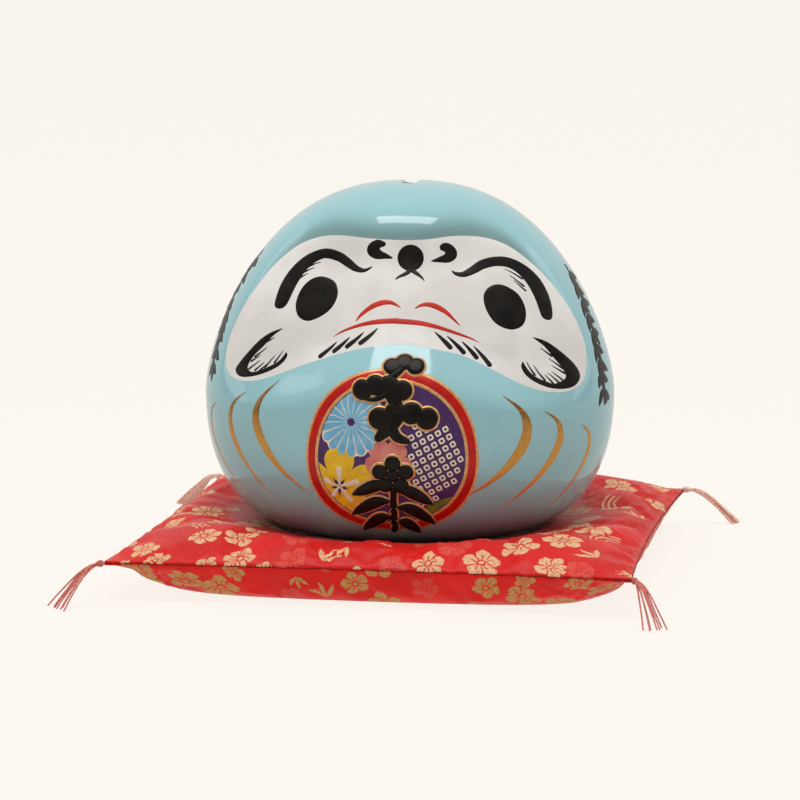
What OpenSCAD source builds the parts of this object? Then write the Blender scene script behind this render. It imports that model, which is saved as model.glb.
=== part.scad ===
// Daruma coin bank on a square tasselled cushion.
// Origin: centre of the cushion's flat underside. +Z is up and the face looks along -Y.

/* [Ceramic body] */
// Largest radius, measured to the side
body_r = 65; // [60:0.5:70]
// Front-to-back depth as a share of the width
depth_ratio = 0.95; // [0.9:0.01:1]
// Height of the widest level above the table
waist_z = 56.5; // [54:0.5:60]
// Height of the dome above the widest level
dome_h = 66; // [60:1:70]
// Depth of the bowl below the widest level
bowl_h = 46; // [44:0.5:46]
// Wall thickness
wall = 4; // [3:0.5:5]
// Height of the flat base above the table
base_z = 13; // [12.5:0.1:13.5]

/* [Face niche] */
// Depth of the niche under the brow
niche_depth = 11; // [6:0.5:12]
// Height at which the brow starts to turn in
brow_z = 119.5; // [116:0.5:120.5]
// Height over which the brow turns in
brow_run = 22.5; // [16:0.5:26]
// Height at which the upper lip's shelf starts to turn in, at the middle of the face
lip_z = 64.5; // [60:0.5:68]
// Height over which the shelf turns in
lip_run = 20; // [14:0.5:24]
// Share of the niche's depth that the shelf takes, with the chest below taking the rest
lip_share = 0.69; // [0.5:0.01:0.8]
// Height at which the chest starts to turn in
chest_z = 40; // [36:1:48]
// Height over which the chest turns in
chest_run = 27; // [20:1:32]
// How much lower the shelf and the chest run at the cheeks
lip_drop = 13; // [0:0.5:16]
// Angle from the front at which the niche has faded out
niche_half_angle = 70; // [60:1:80]

/* [Coin slot and foot] */
// Length of the coin slot, front to back
slot_l = 23.5; // [20:0.5:26]
// Width of the coin slot
slot_w = 5; // [4.5:0.1:6]
// Distance of the slot's centre behind the body's axis
slot_back = 5.5; // [0:0.5:8]
// Outer radius of the foot ring
foot_r = 34; // [32:0.5:36]
// Width of the foot ring
foot_w = 5; // [4:0.5:6]
// Height of the foot ring below the base
foot_h = 2.5; // [2:0.1:2.7]

/* [Stopper] */
// Radius of the hole in the base
hole_r = 13; // [11:0.5:15]
// Radial clearance of the plug in the hole
plug_gap = 0.05; // [0.02:0.01:0.1]
// Radius of the stopper's flange
flange_r = 17; // [16:0.5:20]
// Thickness of the flange
flange_h = 1.6; // [1.2:0.1:1.8]
// Height of the plug above the flange
plug_h = 8; // [6:0.5:10]
// Reach of the finger tab beyond the flange
tab_reach = 6; // [4:0.5:8]

/* [Cushion] */
// Side of the square cushion, corner to corner along the seam
cushion_side = 160; // [150:1:170]
// Turn of the cushion about the vertical, seen from above
cushion_turn = -5.3; // [-8:0.1:8]
// Height of the seam above the table
seam_z = 12; // [10:0.5:13]
// Rise of the crown above the seam
crown_h = 9; // [6:0.5:12]
// How far the middle of each side is pulled in, as a share of half the side
side_pull = 0.03; // [0:0.005:0.05]
// Vertical thickness of the cover cloth
cloth_t = 0.6; // [0.4:0.1:1]
// Space between the doll and the dent that it makes
dent_gap = 1.2; // [1:0.1:1.5]

/* [Tassels] */
// Horizontal reach of each tassel from its corner
tassel_reach = 17; // [12:0.5:20]
// Width of a tassel's fan at the tips
tassel_fan = 9; // [6:0.5:12]
// Turn of each tassel away from its diagonal: front left, front right, back right, back left
tassel_yaw = [9, -17, -33, 8]; // [-35:1:35]

/* [Hidden] */

// Exponents that square off or sharpen the two halves of the body's outline
DOME_R_POWER = 0.833;
DOME_Z_POWER = 1.3245;
BOWL_R_POWER = 0.474;
BOWL_Z_POWER = 0.905;
// How far out from the middle the shelf reaches its lowest level, in degrees
LIP_SPREAD = 50;
// Share of the niche's half angle over which its sides fade
NICHE_FADE = 0.65;
// Share of the way in from the seam at which the underside lies flat, and the crown is full
FLAT_SHARE = 0.22;
CROWN_SHARE = 0.6;
// Half side of the flat square under the cushion, as a share, and the lift from there to the seam
STAND_SHARE = 0.69;
STAND_LIFT = 1;
// Divisions of the body and the cushion
OUTER_SIDES = 36;
OUTER_RINGS = 34;
INNER_SIDES = 24;
INNER_RINGS = 18;
CUSHION_STEPS = 24;
FILL_RIM_CELLS = 2;
// The dent under the doll: the flat margin around the foot, rise per mm outwards for the first
// part of the way, and rise per mm beyond that
DENT_MARGIN = 2;
DENT_SLOPE = 0.49;
DENT_RUN = 10;
RIM_SLOPE = 0.15;
// Small distances that keep neighbouring solids apart, or make cuts run through
FLANGE_GAP = 0.1;
FILL_GAP = 0.1;
SEAM_GAP = 0.1;
CORNER_GAP = 0.3;
CUT_OVER = 1;
// Radii of a tassel's knot, of the bundle as it leaves the knot, and of the fan's corners
KNOT_R = 1.3;
NECK_R = 0.8;
TIP_R = 0.6;
TIP_LIFT = 0.4;

function smooth(x) = let (c = max(0, min(1, x))) c * c * (3 - 2 * c);

// ---- shape of the body ----

// Radius and height of the outline at angle t, from -90 at the bottom to 90 at the crown,
// for a body that is smaller than the outside by inset
function outline_r(t, inset) =
    (body_r - inset) * pow(max(0, cos(t)), t > 0 ? DOME_R_POWER : BOWL_R_POWER);
function outline_z(t, inset) =
    t > 0 ? waist_z + (dome_h - inset) * pow(sin(t), DOME_Z_POWER)
          : waist_z - (bowl_h - inset) * pow(-sin(t), BOWL_Z_POWER);

// Angle t at which the bowl reaches height z
function bowl_t(z, inset) = -asin(pow((waist_z - z) / (bowl_h - inset), 1 / BOWL_Z_POWER));

// Depth of the niche at angle a from the front and height z
function niche(a, z) =
    let (level = z + lip_drop * smooth(abs(a) / LIP_SPREAD))
    niche_depth
    * smooth((niche_half_angle - abs(a)) / (niche_half_angle * NICHE_FADE))
    * smooth((brow_z - z) / brow_run)
    * (lip_share * smooth((level - lip_z) / lip_run)
       + (1 - lip_share) * smooth((level - chest_z) / chest_run));

// Point of the body's surface at angle a from the front (positive towards +X)
function body_point(a, t, inset) =
    let (z = outline_z(t, inset), r = max(0.01, outline_r(t, inset) - niche(a, z)))
    [r * sin(a), -depth_ratio * r * cos(a), z];

// Closed solid of rings, from the flat floor at height floor_z to the crown
module ringed_solid(floor_z, inset, sides, rings) {
    t_low = bowl_t(floor_z, inset);
    points = [for (i = [0 : rings - 1], j = [0 : sides - 1])
                  body_point(360 * j / sides - 180, t_low + (90 - t_low) * i / rings, inset)];
    crown = [0, 0, outline_z(90, inset)];
    walls = [for (i = [0 : rings - 2], j = [0 : sides - 1])
                 let (k = (j + 1) % sides)
                 [i * sides + j, (i + 1) * sides + j, (i + 1) * sides + k, i * sides + k]];
    top = [for (j = [0 : sides - 1])
               [(rings - 1) * sides + j, rings * sides, (rings - 1) * sides + (j + 1) % sides]];
    base = [[for (j = [0 : sides - 1]) j]];
    polyhedron(concat(points, [crown]), concat(walls, top, base), convexity = 6);
}

module ceramic_body() {
    color("lightblue")
    difference() {
        union() {
            ringed_solid(base_z, 0, OUTER_SIDES, OUTER_RINGS);
            foot_ring();
        }
        ringed_solid(base_z + wall, wall, INNER_SIDES, INNER_RINGS);
        coin_slot();
        translate([0, 0, base_z - CUT_OVER])
            cylinder(h = wall + 2 * CUT_OVER, r = hole_r, $fn = 64);
    }
}

module foot_ring() {
    rotate_extrude($fn = 72)
        translate([foot_r - foot_w, base_z - foot_h])
            square([foot_w, foot_h + CUT_OVER]);
}

// Stadium-shaped slot through the crown
module coin_slot() {
    straight = slot_l - slot_w;
    translate([0, slot_back, waist_z + dome_h / 2])
        linear_extrude(height = dome_h) {
            square([slot_w, straight], center = true);
            for (end = [-1, 1])
                translate([0, end * straight / 2])
                    circle(d = slot_w, $fn = 32);
        }
}

// Rubber plug: a flange below the base, a hollow plug in the hole and a finger tab
module stopper() {
    plug_r = hole_r - plug_gap;
    plug_wall = 2;
    flange_top = base_z - FLANGE_GAP;
    color("dimgray") {
        rotate_extrude($fn = 64)
            polygon([[0, flange_top - flange_h], [flange_r, flange_top - flange_h],
                     [flange_r, flange_top], [plug_r, flange_top],
                     [plug_r, flange_top + plug_h], [plug_r - plug_wall, flange_top + plug_h],
                     [plug_r - plug_wall, flange_top + plug_wall], [0, flange_top + plug_wall]]);
        translate([0, flange_r + tab_reach / 2 - CUT_OVER, flange_top - flange_h / 2])
            cube([2 * tab_reach, tab_reach, flange_h], center = true);
    }
}

// ---- shape of the cushion ----

// Places u and v run from -1 to 1 across the cushion, closer together near the seam
function step_place(k) = let (x = 2 * k / CUSHION_STEPS - 1) (x + sin(90 * x)) / 2;
function seam_share(u, v) = (1 - u * u) * (1 - v * v);

function plan_point(u, v) =
    cushion_side / 2 * [u * (1 - side_pull * (1 - v * v)), v * (1 - side_pull * (1 - u * u))];

// Height of the underside: a flat square that the cushion stands on, a slight lift around it,
// and the rise to the seam
function under_z(u, v) =
    let (rim_z = seam_z - SEAM_GAP - cloth_t, outside = max(0, max(abs(u), abs(v)) - STAND_SHARE))
    (rim_z - STAND_LIFT) * pow(1 - min(1, seam_share(u, v) / FLAT_SHARE), 2)
    + STAND_LIFT * outside / (1 - STAND_SHARE);

// Height of the crown, and of the dent at plan point p: flat below the foot, then a steep cone
// and a gentle one
function crown_z(u, v) =
    seam_z + cloth_t + crown_h * pow(sin(90 * min(1, seam_share(u, v) / CROWN_SHARE)), 0.8);
function dent_z(p) =
    let (out = max(0, norm([p[0], p[1] / depth_ratio]) - foot_r - DENT_MARGIN))
    base_z - foot_h - dent_gap + DENT_SLOPE * min(out, DENT_RUN) + RIM_SLOPE * max(0, out - DENT_RUN);
function over_z(u, v) = min(crown_z(u, v), dent_z(plan_point(u, v)));

// Closed solid between two of the cushion's surfaces, leaving off rim cells next to the seam.
// Each surface is [true for the upper one or false for the underside, distance to move it up].
function level(u, v, surface) = surface[1] + (surface[0] ? over_z(u, v) : under_z(u, v));

module quilted_solid(rim_cells, low_surface, high_surface) {
    n = CUSHION_STEPS - 2 * rim_cells;
    row = n + 1;
    places = [for (i = [0 : n]) step_place(i + rim_cells)];
    low = [for (u = places, v = places) concat(plan_point(u, v), level(u, v, low_surface))];
    high = [for (u = places, v = places) concat(plan_point(u, v), level(u, v, high_surface))];
    half = row * row;
    cells = [for (i = [0 : n - 1], j = [0 : n - 1]) i * row + j];
    faces_low = [for (c = cells, second = [false, true])
                     second ? [c, c + row + 1, c + 1] : [c, c + row, c + row + 1]];
    faces_high = [for (f = faces_low) [half + f[2], half + f[1], half + f[0]]];
    rim = concat([for (j = [0 : n]) j], [for (i = [1 : n]) i * row + n],
                 [for (j = [1 : n]) n * row + n - j], [for (i = [1 : n - 1]) (n - i) * row]);
    faces_rim = [for (k = [0 : len(rim) - 1])
                     let (a = rim[k], b = rim[(k + 1) % len(rim)])
                     [a, b, half + b, half + a]];
    rotate([0, 0, cushion_turn])
        polyhedron(concat(low, high), concat(faces_low, faces_high, faces_rim), convexity = 4);
}

module cushion_cover_top() {
    color("crimson") quilted_solid(0, [true, -cloth_t], [true, 0]);
}

module cushion_cover_bottom() {
    color("red") quilted_solid(0, [false, 0], [false, cloth_t]);
}

module cushion_filling() {
    color("ivory")
    quilted_solid(FILL_RIM_CELLS, [false, cloth_t + FILL_GAP], [true, -cloth_t - FILL_GAP]);
}

// ---- tassels ----

// Tassel at a corner of the cushion: sx and sy are the corner's signs, which picks its yaw
module tassel(sx, sy, which) {
    corner = cushion_side / 2 * [sx, sy];
    away = atan2(sy, sx) + tassel_yaw[which];
    out = KNOT_R + CORNER_GAP;
    color("tomato")
    rotate([0, 0, cushion_turn])
        translate([corner[0] + out * sx, corner[1] + out * sy, seam_z])
            rotate([0, 0, away]) {
                sphere(r = KNOT_R, $fn = 32);
                hull() {
                    sphere(r = NECK_R, $fn = 16);
                    for (side = [-1, 1])
                        translate([tassel_reach, side * tassel_fan / 2, TIP_LIFT + TIP_R - seam_z])
                            sphere(r = TIP_R, $fn = 12);
                }
            }
}

module tassel_front_left() { tassel(-1, -1, 0); }
module tassel_front_right() { tassel(1, -1, 1); }
module tassel_back_right() { tassel(1, 1, 2); }
module tassel_back_left() { tassel(-1, 1, 3); }

ceramic_body();
stopper();
cushion_cover_top();
cushion_cover_bottom();
cushion_filling();
tassel_front_left();
tassel_front_right();
tassel_back_right();
tassel_back_left();
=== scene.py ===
"""Ceramic daruma coin bank on a brocade cushion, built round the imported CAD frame.

Lengths are in millimetres until a mesh is made, and angles are in degrees. A place on the doll
is (a, z): the angle from its front, positive towards +X, and the height above the table.
"""
import functools
import math
import random

import bmesh
import bpy
import numpy as np
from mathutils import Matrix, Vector


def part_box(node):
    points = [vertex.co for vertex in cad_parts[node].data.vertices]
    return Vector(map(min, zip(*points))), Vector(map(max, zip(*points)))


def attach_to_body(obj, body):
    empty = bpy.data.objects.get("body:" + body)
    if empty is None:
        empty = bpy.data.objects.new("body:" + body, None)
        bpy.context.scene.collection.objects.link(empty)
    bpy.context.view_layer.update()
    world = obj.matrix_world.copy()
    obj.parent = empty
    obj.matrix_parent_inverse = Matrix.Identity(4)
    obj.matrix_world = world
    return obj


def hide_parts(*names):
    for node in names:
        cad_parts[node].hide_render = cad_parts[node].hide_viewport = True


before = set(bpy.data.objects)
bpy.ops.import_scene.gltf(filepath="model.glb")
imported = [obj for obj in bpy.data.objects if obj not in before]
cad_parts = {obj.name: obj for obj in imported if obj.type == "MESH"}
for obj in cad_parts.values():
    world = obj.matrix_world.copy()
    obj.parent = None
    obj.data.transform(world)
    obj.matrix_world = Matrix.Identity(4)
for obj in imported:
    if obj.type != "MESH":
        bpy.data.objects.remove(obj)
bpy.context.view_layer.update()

MM = 0.001
body_low, body_high = (np.array(corner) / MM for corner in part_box("ceramic_body"))

# ---- The doll's shape, as in the CAD ----
BODY_R = (body_high[0] - body_low[0]) / 2
TOP_Z = body_high[2]
FOOT_Z = body_low[2]
DEPTH_RATIO = 0.95
DOME_H = 66
WAIST_Z = TOP_Z - DOME_H
BOWL_H = 46
WALL = 4
FOOT_H = 2.5
FOOT_R = 34
FOOT_W = 5
HOLE_R = 13
DOME_POWERS = (0.833, 1.3245)
BOWL_POWERS = (0.474, 0.905)
NICHE_DEPTH = 11
NICHE_HALF_ANGLE = 70
NICHE_FADE = 0.65
BROW_Z = 119.5
BROW_RUN = 22.5
LIP_Z = 64.5
LIP_RUN = 20
LIP_SHARE = 0.69
CHEST_Z = 40
CHEST_RUN = 27
LIP_DROP = 13
LIP_SPREAD = 50
SLOT_W = 5
SLOT_L = 23.5
SLOT_BACK = 5.5

# ---- The cushion's shape, as in the CAD ----
HALF_SIDE = 80
SIDE_PULL = 0.03
SEAM_Z = 12
CLOTH_T = 0.6
CROWN_H = 9
TURN = -5.3
FLAT_SHARE = 0.22
CROWN_SHARE = 0.6
STAND_SHARE = 0.69
DENT_Z = 9.3
DENT_R = 36
DENT_SLOPE = 0.49
DENT_RUN = 10
RIM_SLOPE = 0.15
DENT_BLEND = 1.2
EDGE_LIFT = 1

# ---- Finishes ----
SKY_GLAZE = (0.30, 0.54, 0.58)
SKY_DEEP = (0.22, 0.44, 0.48)
# painted shade: the darker glaze colour laid in the band under the brow
SKY_BROW_SHADE = (0.16, 0.27, 0.26)
# painted light: a bluer glaze colour towards the foot that cancels the red light thrown up by the cushion
SKY_FOOT_BOUNCE_CANCEL = (0.24, 0.56, 0.59)
PINHOLE = (0.05, 0.08, 0.09)
FACE_WHITE = (0.76, 0.735, 0.70)
BLACK = (0.006, 0.005, 0.004)
VERMILION = (0.58, 0.035, 0.02)
RING_RED = (0.52, 0.010, 0.006)
GOLD = (0.62, 0.28, 0.08)
GOLD_PALE = (0.72, 0.42, 0.20)
PURPLE = (0.085, 0.030, 0.125)
BROCADE_RED = (0.68, 0.010, 0.008)
# painted light: the brocade red made brighter for the lower panel, for the little light that falls on its
# sides
BROCADE_LOW_RED_BRIGHTENED = (0.90, 0.008, 0.004)
CREAM_THREAD = (0.80, 0.46, 0.25)


# ================= small tools =================

def smooth(x):
    c = np.clip(x, 0, 1)
    return c * c * (3 - 2 * c)


def curve(points, per_segment=8, closed=False):
    """A smooth line through the points, of any number of columns (Catmull-Rom)."""
    p = np.array(points, float)
    if closed:
        p = np.vstack([p[-1], p, p[:2]])
    else:
        p = np.vstack([2 * p[0] - p[1], p, 2 * p[-1] - p[-2]])
    t = (np.arange(per_segment) / per_segment)[:, None]
    parts = []
    for p0, p1, p2, p3 in zip(p, p[1:], p[2:], p[3:]):
        parts.append(0.5 * (2 * p1 + (p2 - p0) * t + (2 * p0 - 5 * p1 + 4 * p2 - p3) * t ** 2
                            + (3 * p1 - p0 - 3 * p2 + p3) * t ** 3))
    line = np.vstack(parts)
    return line if closed else np.vstack([line, p[-2]])


def along(line):
    """Distance along a line at each of its points."""
    return np.concatenate([[0], np.cumsum(np.linalg.norm(np.diff(line, axis=0), axis=1))])


# ================= the doll's surface =================

def outline_radius(z):
    """Radius of the doll's outline at height z, before the niche."""
    z = np.asarray(z, float)
    upper = z >= WAIST_Z
    rise = np.where(upper, (z - WAIST_Z) / DOME_H, (WAIST_Z - z) / BOWL_H)
    power = np.where(upper, DOME_POWERS[1], BOWL_POWERS[1])
    t = np.arcsin(np.clip(rise, 0, 1) ** (1 / power))
    return BODY_R * np.cos(t) ** np.where(upper, DOME_POWERS[0], BOWL_POWERS[0])


def niche(a, z):
    """Depth of the face's niche."""
    a = np.abs(a)
    drop = LIP_DROP * smooth(a / LIP_SPREAD)
    floor = (LIP_SHARE * smooth((z - LIP_Z + drop) / LIP_RUN)
             + (1 - LIP_SHARE) * smooth((z - CHEST_Z + drop) / CHEST_RUN))
    side = smooth((NICHE_HALF_ANGLE - a) / (NICHE_HALF_ANGLE * NICHE_FADE))
    return NICHE_DEPTH * side * smooth((BROW_Z - z) / BROW_RUN) * floor


def bare_point(a, z):
    a, z = np.broadcast_arrays(np.asarray(a, float), np.asarray(z, float))
    r = outline_radius(z) - niche(a, z)
    turn = np.radians(a)
    return np.stack([r * np.sin(turn), -DEPTH_RATIO * r * np.cos(turn), z], -1)


def slopes(a, z):
    """The surface's change per degree of a and per millimetre of z."""
    da, dz = 0.2, 0.1
    along_a = (bare_point(a + da, z) - bare_point(a - da, z)) / (2 * da)
    along_z = (bare_point(a, z + dz) - bare_point(a, z - dz)) / (2 * dz)
    return along_a, along_z


def skin(a, z, lift=0.0):
    """Points of the doll's surface, lifted along its normal."""
    along_a, along_z = slopes(a, z)
    normal = np.cross(along_a, along_z)
    normal /= np.linalg.norm(normal, axis=-1, keepdims=True)
    return bare_point(a, z) + normal * np.asarray(lift)[..., None]


def stretch(a, z):
    """Millimetres of surface per degree of a and per millimetre of z."""
    along_a, along_z = slopes(a, z)
    return np.linalg.norm(along_a, axis=-1), np.linalg.norm(along_z, axis=-1)


CHART_LOW, CHART_HIGH = 14, 112  # the heights that a flat chart of the surface reaches


def from_chart(centre, points):
    """(a, z) of points given in millimetres of surface, right and up from a centre (a, z)."""
    a0, z0 = centre
    uv = np.array(points, float)
    z_line = np.linspace(CHART_LOW, CHART_HIGH, 400)
    between = (z_line[1:] + z_line[:-1]) / 2
    rises = stretch(np.full_like(between, a0), between)[1] * np.diff(z_line)
    climbed = np.concatenate([[0], np.cumsum(rises)])
    z = np.interp(np.interp(z0, z_line, climbed) + uv[..., 1], climbed, z_line)
    return np.stack([a0 + uv[..., 0] / stretch(np.full_like(z, a0), z)[0], z], -1)


# ================= building meshes =================

SAME_PLACE = 1e-7  # metres


def grid_shell(top, under, wrap=False):
    """Points and faces of a closed shell between two grids of points. wrap joins its first and
    last rows."""
    rows, cols = top.shape[:2]
    points = np.concatenate([top.reshape(-1, 3), under.reshape(-1, 3)])
    half = rows * cols
    faces = []
    last = rows if wrap else rows - 1
    for i in range(last):
        i2 = (i + 1) % rows
        for j in range(cols - 1):
            a, b, c, d = i * cols + j, i2 * cols + j, i2 * cols + j + 1, i * cols + j + 1
            faces.append((a, b, c, d))
            faces.append((half + d, half + c, half + b, half + a))
        for j in (0, cols - 1):
            a, b = i * cols + j, i2 * cols + j
            faces.append((a, half + a, half + b, b) if j == 0 else (b, half + b, half + a, a))
    if not wrap:
        for i in (0, rows - 1):
            for j in range(cols - 1):
                a, b = i * cols + j, i * cols + j + 1
                faces.append((b, half + b, half + a, a) if i == 0 else (a, half + a, half + b, b))
    return points, faces


class Shells:
    """Closed shells that become one object."""

    def __init__(self):
        self.points = []
        self.faces = []
        self.count = 0

    def add(self, points, faces):
        self.points.append(np.asarray(points, float))
        self.faces += [tuple(self.count + k for k in face) for face in faces]
        self.count += len(points)

    def make(self, name, material, sharp=50):
        mesh = new_mesh(name, np.concatenate(self.points), self.faces)
        clean(mesh, sharp)
        return new_object(name, mesh, material)


def new_mesh(name, points, faces):
    """A mesh from points in millimetres."""
    mesh = bpy.data.meshes.new(name)
    mesh.from_pydata((points * MM).tolist(), [], faces)
    return mesh


def new_object(name, data, material=None):
    """An object in the scene, of a mesh, a camera or a light."""
    obj = bpy.data.objects.new(name, data)
    bpy.context.scene.collection.objects.link(obj)
    if material:
        data.materials.append(material)
    return obj


def attach(obj, body, node=None):
    """Lets a piece ride on a body, and hides the CAD node that it takes the place of."""
    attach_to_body(obj, body)
    if node:
        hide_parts(node)


def clean(mesh, sharp, join=True):
    """Joins points that coincide, faces every shell outwards, and shades it smooth but for edges
    sharper than that angle."""
    bm = bmesh.new()
    bm.from_mesh(mesh)
    if join:
        bmesh.ops.remove_doubles(bm, verts=bm.verts, dist=SAME_PLACE)
        bmesh.ops.dissolve_degenerate(bm, edges=bm.edges, dist=SAME_PLACE)
    bmesh.ops.recalc_face_normals(bm, faces=bm.faces)
    for face in bm.faces:
        face.smooth = True
    for edge in bm.edges:
        if len(edge.link_faces) == 2 and edge.calc_face_angle(0) > math.radians(sharp):
            edge.smooth = False
    bm.to_mesh(mesh)
    bm.free()


def heading_out(degrees):
    """Unit vectors along a heading in a flat chart, and square to it on its left."""
    heading = math.radians(degrees)
    out = np.array([math.cos(heading), math.sin(heading)])
    return out, np.array([-out[1], out[0]])


UNDER = -0.15  # depth below the glaze at which painted shells close


def painted(a, z, lifts, wrap=False):
    return grid_shell(skin(a, z, lifts), skin(a, z, np.full(np.shape(a), UNDER)), wrap)


def stroke(shells, spine, widths, lift=0.10, across=7):
    """A brush stroke with round ends along (a, z) points, with its full width in millimetres at
    each."""
    line = curve(np.column_stack([spine, widths]), 10)
    a, z, w = line.T
    w = np.maximum(w, 0.03)
    per_a, per_z = stretch(a, z)
    path = np.column_stack([a * per_a.mean(), z * per_z.mean()])
    s = along(path)
    for gone in (s, s[-1] - s):
        w = w * np.sqrt(np.clip(1 - (1 - np.clip(gone / (w / 2), 0, 1)) ** 2, 1e-4, 1))
    run = np.column_stack([np.gradient(a) * per_a, np.gradient(z) * per_z])
    run /= np.linalg.norm(run, axis=1, keepdims=True)
    k = np.linspace(-1, 1, across)
    reach = w[:, None] / 2 * np.sin(k * math.pi / 2)
    grid_a = a[:, None] - run[:, 1:] * reach / per_a[:, None]
    grid_z = z[:, None] + run[:, :1] * reach / per_z[:, None]
    crown = np.cos(k * math.pi / 2) ** 0.7
    lifts = 0.01 + lift * crown * np.minimum(1, w[:, None] / 0.8)
    shells.add(*painted(grid_a, grid_z, lifts))


def blob(shells, centre, outline, lift=0.10, grow=0.0, edge=0.6, rings=6, middle=(0, 0)):
    """A filled patch, with its outline in millimetres round a centre (a, z). edge is the width of
    its rounded rim, and grow moves the outline outwards."""
    line = curve(outline, 8, closed=True)
    middle = np.array(middle, float)
    if grow:
        run = np.roll(line, -1, 0) - np.roll(line, 1, 0)
        run /= np.linalg.norm(run, axis=1, keepdims=True)
        out = np.column_stack([run[:, 1], -run[:, 0]])
        if np.sum(out * (line - middle)) < 0:
            out = -out
        line = line + grow * out
    spokes = line - middle
    size = np.linalg.norm(spokes, axis=1).mean()
    rim = 1 - min(0.5, edge / size)
    shares = np.concatenate([np.linspace(0, rim, rings), 1 - (1 - rim) * np.array([0.6, 0.25, 0.06, 0])])
    heights = np.concatenate([np.ones(rings), [0.92, 0.66, 0.34, 0]])
    uv = middle + spokes[:, None, :] * shares[None, :, None]
    place = from_chart(centre, uv)
    shells.add(*painted(place[..., 0], place[..., 1],
                        np.broadcast_to(0.01 + lift * heights, place.shape[:2]), wrap=True))


MM_PER_CELL = (0.8, 1.0)  # rough millimetres per degree of a and per millimetre of z on the face


def patch(shells, one, two, lift=0.10):
    """A filled brush mark between two edges of (a, z) points that meet at both ends."""
    edges = []
    for points in (one, two):
        line = curve(points, 8)
        gone = along(line * MM_PER_CELL)
        share = (1 - np.cos(np.linspace(0, math.pi, 64))) / 2 * gone[-1]
        edges.append(np.column_stack([np.interp(share, gone, column) for column in line.T]))
    k = np.linspace(-1, 1, 9)
    between = ((1 + np.sin(k * math.pi / 2)) / 2)[None, :, None]
    grid = edges[0][:, None] * (1 - between) + edges[1][:, None] * between
    width = np.linalg.norm((edges[1] - edges[0]) * MM_PER_CELL, axis=1)[:, None]
    lifts = 0.01 + lift * np.cos(k * math.pi / 2) ** 0.6 * np.minimum(1, width / 0.8)
    shells.add(*painted(grid[..., 0], grid[..., 1], lifts))


def circle(radius, count=12, middle=(0, 0), squash=1.0):
    """Outline points of a circle, or of an ellipse squashed along its second axis."""
    t = np.arange(count) * 2 * math.pi / count
    return np.array(middle) + np.column_stack([radius * np.cos(t), radius * squash * np.sin(t)])


def ring(shells, centre, radius, width, lift=0.10):
    """A painted ring of that radius at the middle of its line."""
    k = np.linspace(-1, 1, 7)
    reach = radius + width / 2 * np.sin(k * math.pi / 2)
    place = from_chart(centre, circle(1, 144)[:, None] * reach[None, :, None])
    lifts = np.broadcast_to(0.01 + lift * np.cos(k * math.pi / 2) ** 0.6, place.shape[:2])
    shells.add(*painted(place[..., 0], place[..., 1], lifts, wrap=True))


def tube(shells, path, radii, sides=6):
    """A thread along a path in millimetres, closed at both ends."""
    path = np.array(path, float)
    radii = np.broadcast_to(radii, len(path))
    run = np.gradient(path, axis=0)
    run /= np.linalg.norm(run, axis=1, keepdims=True)
    first = np.cross(run, [0.3, 0.2, 0.93])
    first /= np.linalg.norm(first, axis=1, keepdims=True)
    second = np.cross(run, first)
    t = np.arange(sides) * 2 * math.pi / sides
    rings = (path[:, None] + radii[:, None, None]
             * (first[:, None] * np.cos(t)[:, None] + second[:, None] * np.sin(t)[:, None]))
    points = rings.reshape(-1, 3)
    faces = [(i * sides + j, i * sides + (j + 1) % sides,
              (i + 1) * sides + (j + 1) % sides, (i + 1) * sides + j)
             for i in range(len(path) - 1) for j in range(sides)]
    faces.append(tuple(range(sides)))
    faces.append(tuple(range(len(points) - sides, len(points))))
    shells.add(points, faces)


# ================= materials =================

class Graph:
    """Short calls for a material's nodes. Each returns an output socket."""

    def __init__(self, tree):
        self.tree = tree

    def put(self, socket, value):
        if isinstance(value, bpy.types.NodeSocket):
            self.tree.links.new(value, socket)
        else:
            socket.default_value = value

    def node(self, kind, inputs=None, **settings):
        made = self.tree.nodes.new("ShaderNode" + kind)
        for name, value in settings.items():
            setattr(made, name, value)
        for name, value in (inputs or {}).items():
            self.put(made.inputs[name], value)
        return made

    def math(self, operation, *values):
        return self.node("Math", dict(enumerate(values)), operation=operation).outputs[0]

    def times(self, *values):
        return functools.reduce(lambda one, two: self.math("MULTIPLY", one, two), values)

    def plus(self, *values):
        return functools.reduce(lambda one, two: self.math("ADD", one, two), values)

    def minus(self, one, two):
        return self.math("SUBTRACT", one, two)

    def size(self, value):
        return self.math("ABSOLUTE", value)

    def step(self, value, low, high):
        """0 below low, 1 above high, smooth in between."""
        made = self.node("MapRange", {"Value": value, "From Min": low, "From Max": high},
                         interpolation_type="SMOOTHSTEP")
        return made.outputs["Result"]

    def mix(self, share, first, second):
        made = self.node("Mix", {"Factor": share}, data_type="RGBA")
        for socket, value in ((made.inputs[6], first), (made.inputs[7], second)):
            self.put(socket, (*value, 1) if isinstance(value, tuple) else value)
        return made.outputs[2]

    def noise(self, scale, detail=3.0, vector=None, **inputs):
        made = self.node("TexNoise", {"Scale": scale, "Detail": detail, **inputs})
        if vector is not None:
            self.put(made.inputs["Vector"], vector)
        return made.outputs["Fac"]

    def bump(self, height, distance, strength=1.0, normal=None):
        made = self.node("Bump", {"Height": height, "Distance": distance, "Strength": strength})
        if normal is not None:
            self.put(made.inputs["Normal"], normal)
        return made.outputs["Normal"]

    def finish(self, shader, colour, normal, roughness=None):
        self.put(shader.inputs["Base Color"], colour)
        self.put(shader.inputs["Normal"], normal)
        if roughness is not None:
            self.put(shader.inputs["Roughness"], roughness)


def new_material(name, **uniform):
    """A material, its graph, its Principled shader and the object's own coordinates."""
    material = bpy.data.materials.new(name)
    material.use_nodes = True
    graph = Graph(material.node_tree)
    shader = material.node_tree.nodes["Principled BSDF"]
    for socket, value in uniform.items():
        shader.inputs[socket.replace("_", " ")].default_value = value
    place = graph.node("TexCoord").outputs["Object"]
    return material, graph, shader, place


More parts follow.
